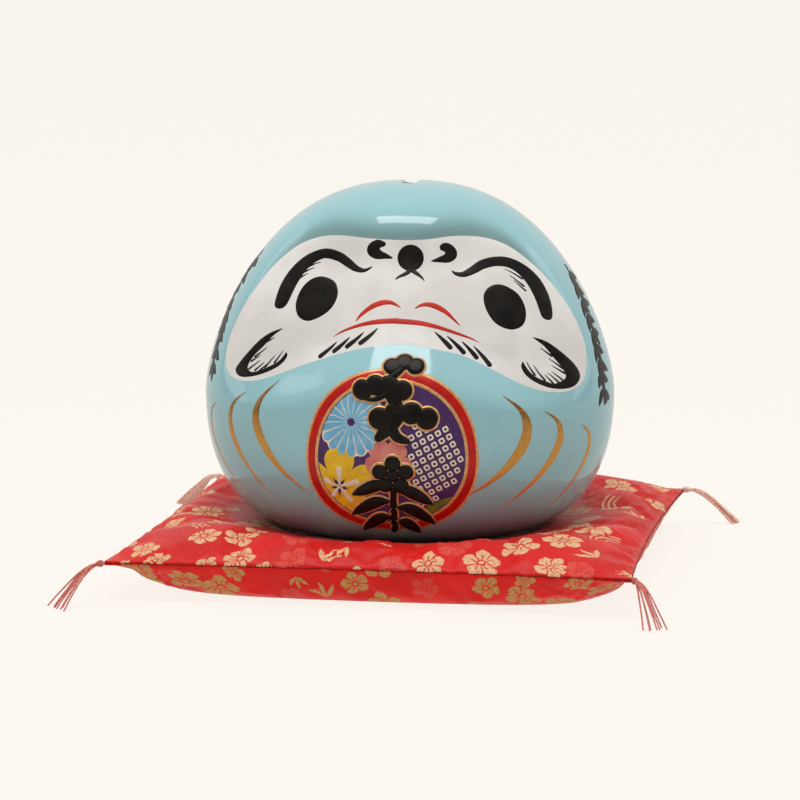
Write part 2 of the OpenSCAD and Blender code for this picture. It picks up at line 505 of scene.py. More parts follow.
def enamel(name, colour, second, rough, cloud, grain, gloss, metallic):
    """Fired enamel: two close colours in clouds, fine grain, a slight ripple."""
    material, g, shader, place = new_material(name, Metallic=metallic, Specular_IOR_Level=gloss)
    mixed = g.mix(g.step(g.noise(cloud, 4.0, place), 0.35, 0.65), colour, second)
    if grain:
        specks = g.step(g.noise(2600, 1.0, place), 0.60, 0.72)
        mixed = g.mix(g.times(specks, grain), mixed, tuple(c * 0.45 for c in colour))
    roughness = g.math("MULTIPLY_ADD", g.noise(400, 2.0, place), 0.08, rough - 0.04)
    g.finish(shader, mixed, g.bump(g.noise(900, 2.0, place), 0.00002), roughness)
    return material


def glaze_material():
    """Glossy sky-blue glaze with a slight orange peel and a few pinholes. Painted shade darkens it in a band
    under the brow, and a bluer colour painted towards the foot cancels the red light that the cushion throws
    up."""
    material, g, shader, place = new_material("sky_glaze", Roughness=0.085, Specular_IOR_Level=0.5)
    height = g.node("SeparateXYZ", {"Vector": place}).outputs["Z"]
    clouds = g.noise(60, 4.0, place)
    speck = g.step(g.node("TexVoronoi", {"Scale": 260.0, "Vector": place}).outputs["Distance"], 0.10, 0.06)
    rare = g.step(g.noise(45, 0.0, place), 0.70, 0.74)
    base = g.mix(g.times(clouds, 0.3), SKY_GLAZE, SKY_DEEP)
    # towards the foot, a bluer colour painted to cancel the cushion's red bounce light
    base = g.mix(g.step(height, 0.045, 0.016), base, SKY_FOOT_BOUNCE_CANCEL)
    brow_shade = g.node("Attribute", attribute_name="brow_shade").outputs["Fac"]
    # painted shade under the brow, by the stored brow-shade amount
    base = g.mix(g.times(brow_shade, g.math("MULTIPLY_ADD", clouds, 0.3, 0.7)), base, SKY_BROW_SHADE)
    base = g.mix(g.times(speck, rare, 0.3), base, PINHOLE)
    peel = g.bump(g.noise(220, 2.0, place), 0.00004)
    g.finish(shader, base, g.bump(g.noise(35, 1.0, place), 0.00012, normal=peel))
    return material


def stripe_gold():
    """Gold lustre brushed on thin: brown at the top of each stripe, orange towards its lower end."""
    material, g, shader, place = new_material("stripe_gold", Metallic=0.6, Specular_IOR_Level=0.4)
    height = g.node("SeparateXYZ", {"Vector": place}).outputs["Z"]
    drift = g.math("MULTIPLY_ADD", g.noise(150, 3.0, place), 0.012, height)
    base = g.mix(g.step(drift, 0.030, 0.048), (0.66, 0.20, 0.06), (0.55, 0.27, 0.05))
    base = g.mix(g.step(drift, 0.050, 0.066), base, (0.24, 0.11, 0.03))
    streaks = g.step(g.noise(900, 2.0, place), 0.45, 0.7)
    base = g.mix(g.times(streaks, 0.35), base, (0.75, 0.42, 0.14))
    g.finish(shader, base, g.bump(g.noise(1500, 2.0, place), 0.00002),
             g.math("MULTIPLY_ADD", streaks, 0.12, 0.30))
    return material


# Each enamel: slot, two colours, roughness, how fine its clouds are, grain, gloss and metal
ENAMELS = {
    "face_white": ("white_glaze", FACE_WHITE, (0.68, 0.655, 0.62), 0.45, 70, 0, 0.2, 0),
    "black_enamel": ("black_enamel", BLACK, (0.012, 0.009, 0.007), 0.34, 200, 0, 0.14, 0),
    "vermilion_enamel": ("red_enamel", VERMILION, (0.46, 0.03, 0.02), 0.28, 300, 0, 0.2, 0),
    "ring_enamel": ("red_enamel", RING_RED, (0.42, 0.008, 0.005), 0.28, 300, 0, 0.25, 0),
    "gold_outline": ("gold_lustre", GOLD_PALE, GOLD, 0.34, 900, 0.3, 0.35, 0.35),
    "purple_enamel": ("coloured_enamel", PURPLE, (0.06, 0.022, 0.085), 0.28, 400, 0.5, 0.25, 0),
    "chrysanthemum_blue": ("coloured_enamel", (0.13, 0.36, 0.56), (0.20, 0.46, 0.62), 0.28, 300, 0, 0.25, 0),
    "cream_line": ("coloured_enamel", (0.74, 0.62, 0.46), (0.80, 0.72, 0.58), 0.28, 600, 0.3, 0.25, 0),
    "plum_yellow": ("coloured_enamel", (0.86, 0.55, 0.012), (0.74, 0.44, 0.02), 0.28, 300, 0.6, 0.25, 0),
    "plum_pink": ("coloured_enamel", (0.62, 0.15, 0.14), (0.66, 0.24, 0.18), 0.28, 250, 0.3, 0.25, 0),
    "leaf_green": ("coloured_enamel", (0.17, 0.22, 0.02), (0.11, 0.17, 0.02), 0.28, 300, 0.6, 0.25, 0),
}
FINISHES = {name: (enamel(name, *looks), slot) for name, (slot, *looks) in ENAMELS.items()}
FINISHES["stripe_gold"] = (stripe_gold(), "gold_lustre")
GLAZE = glaze_material()


def finish_piece(shells, name, finish="black_enamel"):
    material, slot = FINISHES[finish]
    attach(shells.make(name, material), "doll")


# ================= camera =================

TARGET = Vector((0, 0, 0.055))
CAMERA_AZIMUTH = 4.5
CAMERA_ELEVATION = 8.17
CAMERA_DISTANCE = 1.16

camera_data = bpy.data.cameras.new("camera")
camera_data.lens = 163.9
camera_data.shift_x = -0.0125
camera_data.shift_y = -0.0104
camera = new_object("camera", camera_data)
bpy.context.scene.camera = camera
turn, rise = math.radians(CAMERA_AZIMUTH), math.radians(CAMERA_ELEVATION)
back = Vector((math.sin(turn) * math.cos(rise), -math.cos(turn) * math.cos(rise), math.sin(rise)))
camera.location = TARGET + back * CAMERA_DISTANCE
camera.rotation_mode = "QUATERNION"
camera.rotation_quaternion = (-back).to_track_quat("-Z", "Y")


# ================= ceramic body =================

# Upper and lower edge of the face's white panel
PANEL_TOP = [(-64.6, 76.5), (-63.6, 84), (-61.5, 91), (-58.5, 98.5), (-53, 104), (-45, 106.7), (-34, 107.6),
             (-16, 107.1), (0, 106.8), (13, 107.0), (27, 107.8), (40, 107.4), (49, 105.7), (55, 102.6),
             (60, 97), (64, 89.5), (66.4, 82), (67.0, 77)]
PANEL_FOOT = [(-64.6, 76.5), (-64.3, 72), (-62.8, 67.5), (-59.5, 64.3), (-55, 63), (-49, 63.3), (-43, 65.1),
              (-35, 68.3), (-26.5, 71.3), (-16.5, 74.1), (-9, 75.6), (0, 76.6), (6, 76.2), (14, 74.8),
              (22.5, 72.8), (30.5, 69.1), (36, 66), (41, 63.3), (47, 61.3), (53.5, 60.6), (59.3, 61.6),
              (63, 64.2), (65.6, 69), (66.9, 73.5), (67.0, 77)]
# width and reach of the painted shade under the brow
BROW_SHADE_WIDTH = 4.2
BROW_SHADE_HALF_ANGLE = 66
BROW_SHADE_FADE = 10


def paint_brow_shade(mesh):
    """Stores how much painted shade the glaze gets at each point: most just above the face's upper edge,
    under the brow.
    """
    edge = curve(PANEL_TOP, 12)
    points = np.zeros(len(mesh.vertices) * 3)
    mesh.vertices.foreach_get("co", points)
    x, y, z = points.reshape(-1, 3).T / MM
    a = np.degrees(np.arctan2(x, -y / DEPTH_RATIO))
    above = (z - np.interp(a, edge[:, 0], edge[:, 1])) / BROW_SHADE_WIDTH
    amount = np.exp(-(above - 0.2) ** 2) * smooth((BROW_SHADE_HALF_ANGLE - abs(a)) / BROW_SHADE_FADE)
    layer = mesh.attributes.new("brow_shade", "FLOAT", "POINT")
    layer.data.foreach_set("value", amount.astype(np.float32))


def body_rings():
    """Heights of the body's rings, from the crown to the base: close together on the crown."""
    crown_r = np.linspace(0.6, 33, 55)
    crown_t = np.arccos((crown_r / BODY_R) ** (1 / DOME_POWERS[0]))
    crown_z = WAIST_Z + DOME_H * np.sin(crown_t) ** DOME_POWERS[1]
    dome_t = np.linspace(crown_t[-1], 0, 72)[1:]
    dome_z = WAIST_Z + DOME_H * np.sin(dome_t) ** DOME_POWERS[1]
    low_t = math.asin(((WAIST_Z - FOOT_Z - FOOT_H) / BOWL_H) ** (1 / BOWL_POWERS[1]))
    bowl_z = WAIST_Z - BOWL_H * np.sin(np.linspace(0, low_t, 46)[1:]) ** BOWL_POWERS[1]
    return np.concatenate([crown_z, dome_z, bowl_z])


def ring_points(a, r, z, depth=DEPTH_RATIO):
    turn = np.radians(a)
    return np.column_stack([r * np.sin(turn), -depth * r * np.cos(turn), np.broadcast_to(z, a.shape)])


def body_mesh():
    """The doll's outside, its foot ring, the hole underneath and the hollow, as one closed solid."""
    sides = 192
    a = np.arange(sides) * 360 / sides - 180
    base_z = FOOT_Z + FOOT_H
    rows = [bare_point(a, np.full(sides, z)) for z in body_rings()]
    low_r = outline_radius(base_z)
    rows += [ring_points(a, low_r - 0.6, base_z), ring_points(a, low_r - 1.6, base_z - 0.02)]
    foot_in = FOOT_R - FOOT_W
    foot = [(FOOT_R + 0.3, base_z), (FOOT_R, base_z - 0.4), (FOOT_R - 0.1, FOOT_Z + 0.5),
            (FOOT_R - 0.6, FOOT_Z), (foot_in + 0.6, FOOT_Z), (foot_in + 0.1, FOOT_Z + 0.5),
            (foot_in, base_z), (HOLE_R + 0.4, base_z), (HOLE_R, base_z + 0.4), (HOLE_R, base_z + WALL)]
    rows += [ring_points(a, r, z, 1.0) for r, z in foot]
    for z in np.linspace(base_z + WALL + 0.5, TOP_Z - WALL - 1, 40):
        half = DOME_H if z > WAIST_Z else BOWL_H
        outer_z = WAIST_Z + (z - WAIST_Z) * half / (half - WALL)
        r = outline_radius(outer_z) * (1 - WALL / BODY_R) - niche(a, z)
        rows.append(ring_points(a, np.maximum(r, 1.0), z))
    points = np.concatenate(rows)
    last = (len(rows) - 1) * sides
    faces = [(i + j, i + sides + j, i + sides + (j + 1) % sides, i + (j + 1) % sides)
             for i in range(0, last, sides) for j in range(sides)]
    crown = len(points)
    points = np.vstack([points, [0, 0, TOP_Z], [0, 0, TOP_Z - WALL]])
    for j in range(sides):
        k = (j + 1) % sides
        faces.append((crown, j, k))
        faces.append((last + j, crown + 1, last + k))
    points[:, 2] -= slot_dip(points)
    shells = Shells()
    shells.add(points, faces)
    return shells


def slot_dip(points):
    """How far the glaze rolls down round the coin slot."""
    along_y = np.clip(points[:, 1] - SLOT_BACK, -(SLOT_L - SLOT_W) / 2, (SLOT_L - SLOT_W) / 2)
    away = np.hypot(points[:, 0], points[:, 1] - SLOT_BACK - along_y) - SLOT_W / 2
    return np.where(points[:, 2] > TOP_Z - 30, 0.15 * (1 - smooth(away / 0.9)), 0)


def slot_cutter():
    """A stadium-shaped prism through the crown."""
    half = (SLOT_L - SLOT_W) / 2
    t = np.radians(np.arange(0, 181, 15))
    end = np.column_stack([np.cos(t), np.sin(t)]) * SLOT_W / 2
    outline = np.vstack([end + [0, half + SLOT_BACK], -end + [0, SLOT_BACK - half]])
    count = len(outline)
    points = [(x, y, z) for z in (TOP_Z - 25, TOP_Z + 10) for x, y in outline]
    faces = [(i, (i + 1) % count, count + (i + 1) % count, count + i) for i in range(count)]
    faces += [tuple(range(count))[::-1], tuple(range(count, 2 * count))]
    shells = Shells()
    shells.add(points, faces)
    return shells.make("slot_cutter", GLAZE)


body = body_mesh().make("ceramic_shell", GLAZE, sharp=60)
cutter = slot_cutter()
cut = body.modifiers.new("slot", "BOOLEAN")
cut.operation = "DIFFERENCE"
cut.solver = "EXACT"
cut.object = cutter
graph = bpy.context.evaluated_depsgraph_get()
slotted = bpy.data.meshes.new_from_object(body.evaluated_get(graph))
body.modifiers.clear()
body.data = slotted
bpy.data.objects.remove(cutter)
clean(body.data, 40)
paint_brow_shade(body.data)
attach(body, "doll", "ceramic_body")


# ================= the face =================

def face_panel():
    """The white panel, between its upper and lower edges."""
    upper, lower = curve(PANEL_TOP, 12), curve(PANEL_FOOT, 12)
    share = (1 - np.cos(np.linspace(0, math.pi, 181))) / 2
    (left, _), (right, _) = PANEL_TOP[0], PANEL_TOP[-1]
    a = left + (right - left) * share
    low = np.interp(a, lower[:, 0], lower[:, 1])
    high = np.interp(a, upper[:, 0], upper[:, 1])
    rows = np.concatenate([[0, 0.006, 0.02], np.linspace(0.04, 0.96, 60), [0.98, 0.994, 1]])
    lifts = 0.01 + 0.06 * np.minimum(1, np.minimum(rows, 1 - rows) / 0.02)
    grid_z = low[:, None] + (high - low)[:, None] * rows
    grid_a = np.broadcast_to(a[:, None], grid_z.shape)
    shells = Shells()
    shells.add(*painted(grid_a, grid_z, np.broadcast_to(lifts, grid_z.shape)))
    return shells


finish_piece(face_panel(), "face_panel", "face_white")

ON_WHITE = 0.16  # height of the strokes that lie on the white panel
DASH_SHARES = (0, 0.35, 0.7, 1)  # where along a short stroke its points lie


def hairs(shells, marks, width):
    """Dry-brush marks, each a list of (a, z) points that starts at its thin end."""
    for points in marks:
        stroke(shells, points, np.linspace(0.12, width, len(points)), lift=ON_WHITE * 0.9, across=5)


BROWS = {
    "brow_right": ([(23.8, 97.6), (25.5, 96.6), (29, 96.3), (33.5, 97.4), (38.6, 99.1), (44.1, 99.9),
                    (49.4, 99.4), (53.2, 97.2), (55.3, 94), (55.9, 90), (55.5, 86), (54.5, 82)],
                   [0.3, 1.3, 2.0, 2.6, 3.1, 3.4, 4.1, 5.1, 5.8, 5.8, 5.2, 3.8],
                   [[(44.5, 98.2), (48, 97), (51.9, 94.3)], [(45.6, 96.9), (48.3, 95), (51.2, 92.1)],
                    [(46.7, 95.4), (48.8, 93.4), (51, 90.8)]]),
    "brow_left": ([(-13.4, 98.8), (-17.2, 97.5), (-21.5, 97.9), (-26, 99.3), (-32, 101.2), (-38.8, 102),
                   (-44, 100.4), (-46.9, 97.6), (-48.1, 93.5), (-48.1, 89.2), (-47.8, 85)],
                  [0.3, 1.4, 2.2, 2.8, 3.1, 3.5, 4.5, 5.5, 5.9, 5.5, 4.4],
                  [[(-37.2, 99.3), (-40.8, 99.1), (-44.5, 97.6)], [(-39.4, 97.9), (-42, 97.4), (-45, 96)],
                   [(-41.6, 96.3), (-43.4, 95.6), (-45.6, 94.1)]]),
}
for name, (spine, widths, marks) in BROWS.items():
    brow = Shells()
    stroke(brow, spine, widths, lift=ON_WHITE, across=9)
    hairs(brow, marks, 0.95)
    finish_piece(brow, name)

EYES = {
    "eye_right": ((41.3, 86.7), [(1.7, 7.3), (5.6, 3.9), (6.4, -1.6), (4.3, -6.2), (0, -7.6), (-4.4, -5.4),
                                 (-6.3, -0.8), (-5.6, 3.9), (-2.4, 6.9)]),
    "eye_left": ((-34.8, 88.8), [(-0.9, 7.5), (3.9, 5.7), (6.5, 1.6), (6.0, -2.6), (3.4, -5.6), (-0.8, -7.6),
                                 (-4.3, -6.4), (-6.2, -3.2), (-6.6, 0.6), (-5.8, 4.2), (-4, 6.6)]),
}
for name, (centre, outline) in EYES.items():
    eye = Shells()
    blob(eye, centre, outline, lift=ON_WHITE, edge=0.8)
    finish_piece(eye, name)

dot = Shells()
blob(dot, (4.6, 101.4), circle(4.1, squash=1.04), lift=ON_WHITE)
for tail in ([(4.6, 98.0), (2.6, 96.9), (-0.6, 95.9), (-2.4, 95.0)],
             [(4.6, 98.0), (6.8, 97.1), (9.2, 95.9), (10.8, 94.6)]):
    stroke(dot, tail, [1.6, 1.5, 0.9, 0.3], lift=ON_WHITE)
finish_piece(dot, "forehead_dot")

# Single strokes: points, widths and finish
STROKES = {
    "forehead_comma_right": ([(19.1, 104.5), (22.9, 104.3), (25.0, 102.7), (22.8, 101.3), (18.6, 100.8),
                              (14.2, 100.4)], [2.0, 3.5, 4.2, 3.4, 1.9, 0.3], "black_enamel"),
    "forehead_comma_left": ([(-7.8, 105.5), (-12.0, 105.4), (-14.2, 103.9), (-12.0, 102.5), (-7.6, 101.9),
                             (-3.9, 101.3)], [1.2, 3.2, 4.6, 3.6, 1.9, 0.3], "black_enamel"),
    "mouth_line": ([(-25.3, 77.2), (-21.5, 79.4), (-15.5, 81.4), (-9.4, 82.6), (-2.8, 83.1), (1, 83),
                    (8.1, 82.5), (15.1, 81.1), (22.1, 79.1), (27.2, 77.4), (30.5, 75.7)],
                   [0.2, 0.7, 1.2, 1.7, 2.0, 2.0, 1.8, 1.4, 1.0, 0.6, 0.2], "vermilion_enamel"),
    "lip_left": ([(-16.7, 82.5), (-14.6, 84.8), (-10.7, 87.2), (-6.5, 88.4), (-2.7, 88.3), (1.1, 86.8)],
                 [0.3, 1.2, 1.8, 1.9, 1.3, 0.2], "vermilion_enamel"),
    "lip_right": ([(5.7, 86.5), (8.8, 87.7), (12.4, 87.8), (15.8, 86.8), (19.1, 85), (23.5, 81.2)],
                  [0.2, 1.1, 1.8, 1.9, 1.4, 0.3], "vermilion_enamel"),
}
for name, (spine, widths, finish) in STROKES.items():
    mark = Shells()
    stroke(mark, spine, widths, lift=ON_WHITE)
    finish_piece(mark, name, finish)

WHISKERS = {
    "whiskers_right": [((13, 80.1), (18.7, 74.8)), ((17.5, 78.8), (23.3, 73.2)),
                       ((22.8, 77.1), (27.6, 71.5)), ((27, 75.6), (31.6, 69.2))],
    "whiskers_left": [((-7.4, 81.1), (-13.7, 76.1)), ((-12.5, 79.8), (-18.5, 74.9)),
                      ((-17.6, 78.2), (-23.1, 73.3)), ((-22.3, 76.6), (-28.2, 71.5))],
}
for name, dashes in WHISKERS.items():
    whiskers = Shells()
    for (a0, z0), (a1, z1) in dashes:
        spots = [(a0 + (a1 - a0) * s + 0.3 * math.sin(math.pi * s), z0 + (z1 - z0) * s)
                 for s in DASH_SHARES]
        stroke(whiskers, spots, [0.3, 1.2, 1.8, 1.9], lift=ON_WHITE)
    finish_piece(whiskers, name)

# Each cheek's loop: its outer edge, its inner edge, and the dry-brush marks inside
CHEEKS = {
    "cheek_right": ([(47.3, 77.7), (52, 75.9), (56, 72.7), (60, 68.4), (61.2, 64.7), (58.2, 62), (53.3, 61.4),
                     (48, 62.4), (43.3, 65.2), (41.8, 68.3), (42.9, 70.6)],
                    [(47.3, 77.7), (50.8, 74.4), (53, 70.8), (55, 67.4), (55.2, 64.7), (51.1, 63.3),
                     (48.5, 64.1), (45.7, 65.6), (44.2, 67.2), (43.3, 69.2), (42.9, 70.6)],
                    [[(48.1, 75.3), (53, 71)], [(49.4, 72.5), (56, 66.8)], [(50.1, 69.7), (56, 65.6)],
                     [(49.8, 68.1), (54.6, 63.6)], [(48.4, 68.1), (53, 63)], [(47.8, 67.4), (50.8, 63)],
                     [(45.6, 71), (46.5, 67.6), (48.4, 64)], [(43.7, 72.1), (44.4, 68.8), (45.6, 65.8)]]),
    "cheek_left": ([(-43.5, 79.8), (-47.6, 78.2), (-50.9, 75.8), (-53.7, 72.3), (-56.2, 68.6), (-57.3, 65.8),
                    (-54.8, 64.1), (-50.7, 64.3), (-45.7, 65.9), (-41.7, 68.3), (-40, 71), (-40.7, 72.8)],
                   [(-43.5, 79.8), (-46.5, 77.2), (-49.1, 73.6), (-51.6, 70.5), (-52.6, 67.3), (-51, 65.9),
                    (-48.9, 66.2), (-46.7, 67.2), (-44.4, 68.4), (-42.5, 69.7), (-41.4, 71.3), (-40.7, 72.8)],
                   [[(-44.7, 77.3), (-49, 74.8)], [(-46.2, 74.8), (-51.6, 70)], [(-48, 72.1), (-52.4, 68.6)],
                    [(-47.5, 70.8), (-52.4, 66.2)], [(-46.1, 70.3), (-50, 66)], [(-44.6, 70.2), (-48.4, 66)],
                    [(-43.2, 73.1), (-46.8, 67)], [(-41.1, 74.4), (-44, 68.6)]]),
}
for name, (outer, inner, marks) in CHEEKS.items():
    cheek = Shells()
    patch(cheek, outer, inner, lift=ON_WHITE)
    hairs(cheek, marks, 1.0)
    finish_piece(cheek, name)


# ================= the belly's roundel =================

ROUNDEL = (-1.2, 43.5)
RING_R = 25.5
DISC_R = 23.4

disc = Shells()
blob(disc, ROUNDEL, circle(DISC_R, 36), lift=0.05, edge=0.3, rings=22)
finish_piece(disc, "roundel_ground", "purple_enamel")


def clipped(points, limit=DISC_R - 0.5):
    """Points pulled in to stay inside the roundel's disc."""
    points = np.array(points, float)
    away = np.linalg.norm(points, axis=-1, keepdims=True)
    return points * np.minimum(1, limit / np.maximum(away, 1e-6))


def round_petals(shells, shape, middle, headings, reach, width, lift, edge):
    """A petal of that shape at each heading, about a middle point in the roundel's chart."""
    for heading in headings:
        out, side = heading_out(heading)
        outline = [np.array(middle) + reach * s * out + width * w * side for s, w in shape]
        blob(shells, ROUNDEL, clipped(outline), lift=lift, edge=edge,
             middle=clipped(np.array(middle) + 0.6 * reach * out))


def plum_petals(shells, middle, reach, width, turn):
    shape = [(0.12, 0.0), (0.35, 0.34), (0.68, 0.5), (0.92, 0.36), (1.0, 0.0),
             (0.92, -0.36), (0.68, -0.5), (0.35, -0.34)]
    round_petals(shells, shape, middle, [turn + 72 * k for k in range(5)], reach, width, 0.09, 0.35)


def chrysanthemum(shells, middle, count, reach, share, lift):
    """Wedges with round ends. share is how much of its sector each one fills."""
    shape = [(0.14, 0.14), (0.5, 0.5), (0.86, 0.86), (0.96, 0.58), (1.0, 0.0)]
    shape += [(s, -w) for s, w in shape[-2::-1]]
    round_petals(shells, shape, middle, [11 + 360 * k / count for k in range(count)], reach,
                 reach * math.pi / count * share, lift, 0.3)


MUM = (-12.2, 10.4)
MUM_COUNT = 18
mum_lines = Shells()
chrysanthemum(mum_lines, MUM, MUM_COUNT, 11.0, 1.25, 0.07)
finish_piece(mum_lines, "chrysanthemum_lines", "cream_line")
mum_petals = Shells()
chrysanthemum(mum_petals, MUM, MUM_COUNT, 10.6, 0.84, 0.12)
finish_piece(mum_petals, "chrysanthemum_petals", "chrysanthemum_blue")

yellow = Shells()
PLUM = (-16.0, -10.0)
PINK_PLUM = (-0.6, -1.5)
plum_petals(yellow, PLUM, 12.6, 10.0, 90)
finish_piece(yellow, "plum_yellow", "plum_yellow")
stamens = Shells()
for k in range(5):
    tip = np.array(PLUM) + 6.8 * heading_out(90 + 72 * k)[0]
    spots = from_chart(ROUNDEL, clipped([PLUM, (np.array(PLUM) + tip) / 2, tip], DISC_R - 1.2))
    stroke(stamens, spots, [0.5, 1.6, 2.4], lift=0.14)
finish_piece(stamens, "plum_stamens", "cream_line")

pink = Shells()
plum_petals(pink, PINK_PLUM, 7.2, 6.6, 126)
blob(pink, ROUNDEL, circle(2.6, middle=PINK_PLUM), lift=0.12, middle=PINK_PLUM)
finish_piece(pink, "plum_pink", "plum_pink")

kanoko = Shells()
KANOKO_MIDDLE = (13.5, -2.0)
KANOKO_STEP = 2.6
KANOKO_TILT = math.radians(27)


def kanoko_mark(middle):
    """A small rounded square with a hole, as tie-dyeing leaves."""
    t = np.arange(24) * math.pi / 12
    corner = t + KANOKO_TILT + math.pi / 4
    loop = np.column_stack([np.cos(corner), np.sin(corner)]) * 0.92 * (1 + 0.10 * np.cos(4 * t))[:, None]
    rims = np.array([0.42, 0.6, 0.98, 1.12])
    place = from_chart(ROUNDEL, np.array(middle) + loop[:, None] * rims[None, :, None])
    lifts = np.broadcast_to([0.03, 0.12, 0.12, 0.03], place.shape[:2])
    kanoko.add(*painted(place[..., 0], place[..., 1], lifts, wrap=True))


for i in range(-9, 10):
    for j in range(-9, 10):
        u = KANOKO_MIDDLE[0] + KANOKO_STEP * (i * math.cos(KANOKO_TILT) - j * math.sin(KANOKO_TILT))
        v = KANOKO_MIDDLE[1] + KANOKO_STEP * (i * math.sin(KANOKO_TILT) + j * math.cos(KANOKO_TILT))
        within = math.hypot(u, v) < DISC_R - 1.5
        if within and u > 5.6 and -14.6 - 0.6 * (12 - u) < v < 12.5 - 0.55 * (u - 10):
            kanoko_mark((u, v))
finish_piece(kanoko, "tie_dye_dots", "cream_line")

leaf = Shells()
blob(leaf, ROUNDEL, clipped([(8.6, -20.4), (10.8, -16.8), (14.6, -14.6), (18.6, -13.4),
                             (17.8, -15.6), (14.4, -18.8), (11.0, -20.8)]),
     lift=0.14, edge=0.3, middle=(13.4, -17.4))
finish_piece(leaf, "roundel_leaf", "leaf_green")

gold_rings = Shells()
ring(gold_rings, ROUNDEL, RING_R + 1.5, 1.3, lift=0.10)
ring(gold_rings, ROUNDEL, RING_R - 1.7, 1.2, lift=0.12)
finish_piece(gold_rings, "roundel_gold_rings", "gold_outline")
red_ring = Shells()
ring(red_ring, ROUNDEL, RING_R, 2.9, lift=0.16)
finish_piece(red_ring, "roundel_red_ring", "ring_enamel")


# ---- the two raised crests: a pine tree above, plum blossom and bamboo leaves below ----

CREST_LIFT = 1.05
OUTLINE_LIFT = 0.45
OUTLINE_GROW = 0.55


def crest(name, centre, strokes, blobs, needles):
    """Raised black shapes with a gold edge round each, and fine gold lines drawn on them."""
    black, gold, lines = Shells(), Shells(), Shells()
    for points, widths in strokes:
        spots = from_chart(centre, points)
        stroke(black, spots, widths, lift=CREST_LIFT, across=11)
        stroke(gold, spots, [w + 2 * OUTLINE_GROW for w in widths], lift=OUTLINE_LIFT, across=11)
    for middle, outline in blobs:
        blob(black, centre, outline, lift=CREST_LIFT, edge=1.1, middle=middle)
        blob(gold, centre, outline, lift=OUTLINE_LIFT, edge=0.9, middle=middle, grow=OUTLINE_GROW)
    for points in needles:
        stroke(lines, from_chart(centre, points), [0.12, 0.3, 0.12], lift=CREST_LIFT + 0.12, across=5)
    finish_piece(black, name)
    finish_piece(gold, name + "_outline", "gold_outline")
    finish_piece(lines, name + "_lines", "gold_outline")


def pine_crest():
    """A pine tree: three clouds of foliage, each a row of overlapping lobes, set left and right of
    a winding trunk."""
    rows = [(11.6, 3, 3.5, 2.9, 1.5, 3.0), (4.2, 4, 4.0, 3.3, 1.7, -3.4), (-4.2, 4, 4.8, 3.5, 1.9, 3.2)]
    blobs = []
    needles = []
    for level, count, step, radius, arch, aside in rows:
        for k in range(count):
            across = k - (count - 1) / 2
            middle = (step * across + aside, level - arch * (2 * across / (count - 1)) ** 2)
            blobs.append((middle, circle(radius, 10, middle=middle)))
            for turn in (50, 90, 130):
                ray = heading_out(turn)[0] * radius
                root = np.array(middle) - (0, 0.3 * radius)
                needles.append([root + ray * share for share in (0.15, 0.5, 0.85)])
    strokes = [([(2.8, 10), (-1.8, 4.0), (1.8, -4), (-1.6, -9), (-5.2, -13.0)], [2.2, 3.2, 4.2, 4.6, 2.0]),
               ([(-0.6, -8.4), (1.4, -11.6), (5.4, -13.2)], [3.6, 3.2, 1.6]),
               ([(-0.6, 2.4), (-5.0, -0.2), (-9.4, -0.4)], [2.0, 1.8, 0.6])]
    return strokes, blobs, needles


def bamboo_crest():
    """A plum blossom over drooping bamboo leaves, set by turns left and right of a jointed stem."""
    strokes = []
    needles = []
    leaves = [(-1, 5.0, 12.8, -3.4), (1, 3.4, 12.0, -5.0), (-1, -0.4, 13.2, -5.6), (1, -2.6, 12.4, -7.0),
              (-1, -6.4, 10.0, -6.6), (1, -8.6, 7.6, -5.4)]
    for side, root, reach, droop in leaves:
        points = [(side * 1.0, root), (side * reach * 0.40, root + 0.8 + 0.22 * droop),
                  (side * reach * 0.76, root + 0.60 * droop), (side * reach, root + droop)]
        strokes.append((points, [1.0, 4.2, 3.4, 0.4]))
        needles.append([(u * 0.92, v) for u, v in points[:3]])
    for low, high in ((-13.6, -8.2), (-8.0, -3.2), (-3.0, 4.6)):
        strokes.append(([(0.05 * low, low), (0, (low + high) / 2), (0.05 * high, high)], [2.6, 2.0, 2.4]))
    blobs = []
    plum = np.array([0, 8.4])
    for k in range(5):
        out = heading_out(90 + 72 * k)[0] * (4.1, 3.9)
        blobs.append((plum + out, circle(2.55, 10, middle=plum + out)))
        needles.append([plum + out * share for share in (0.35, 0.75, 1.15)])
    blobs.append((plum, circle(2.2, 10, middle=plum)))
    return strokes, blobs, needles


crest("pine_crest", (-0.5, 61.2), *pine_crest())
crest("bamboo_crest", (-0.5, 30.0), *bamboo_crest())


# ================= gold stripes and side sprigs =================

STRIPES = {
    "gold_stripes_left": [((-39.4, 64.4), (-43.8, 48.4), (-25.6, 30.2), 3.2),
                          ((-50.2, 60), (-55.8, 47), (-41.2, 27.8), 2.4),
                          ((-64.6, 55), (-70.6, 44.6), (-56.8, 27.4), 1.8)],
    "gold_stripes_right": [((32.2, 61.2), (38.4, 46.8), (18.8, 29.4), 3.6),
                           ((45.2, 55.6), (50.2, 43.8), (32.2, 25), 2.8),
                           ((59.2, 50), (64.8, 40.2), (53, 22.6), 2.1)],
}
for name, stripes in STRIPES.items():
    gold = Shells()
    for top, bulge, bottom, width in stripes:
        share = np.linspace(0, 1, 7)[:, None]
        spine = (np.array(top) * (1 - share) * (1 - 2 * share) + np.array(bulge) * 4 * share * (1 - share)
                 + np.array(bottom) * share * (2 * share - 1))
        stroke(gold, spine, 0.15 + width * np.sin(np.linspace(0, math.pi, 7)) ** 1.3, lift=0.09)
    finish_piece(gold, name, "stripe_gold")


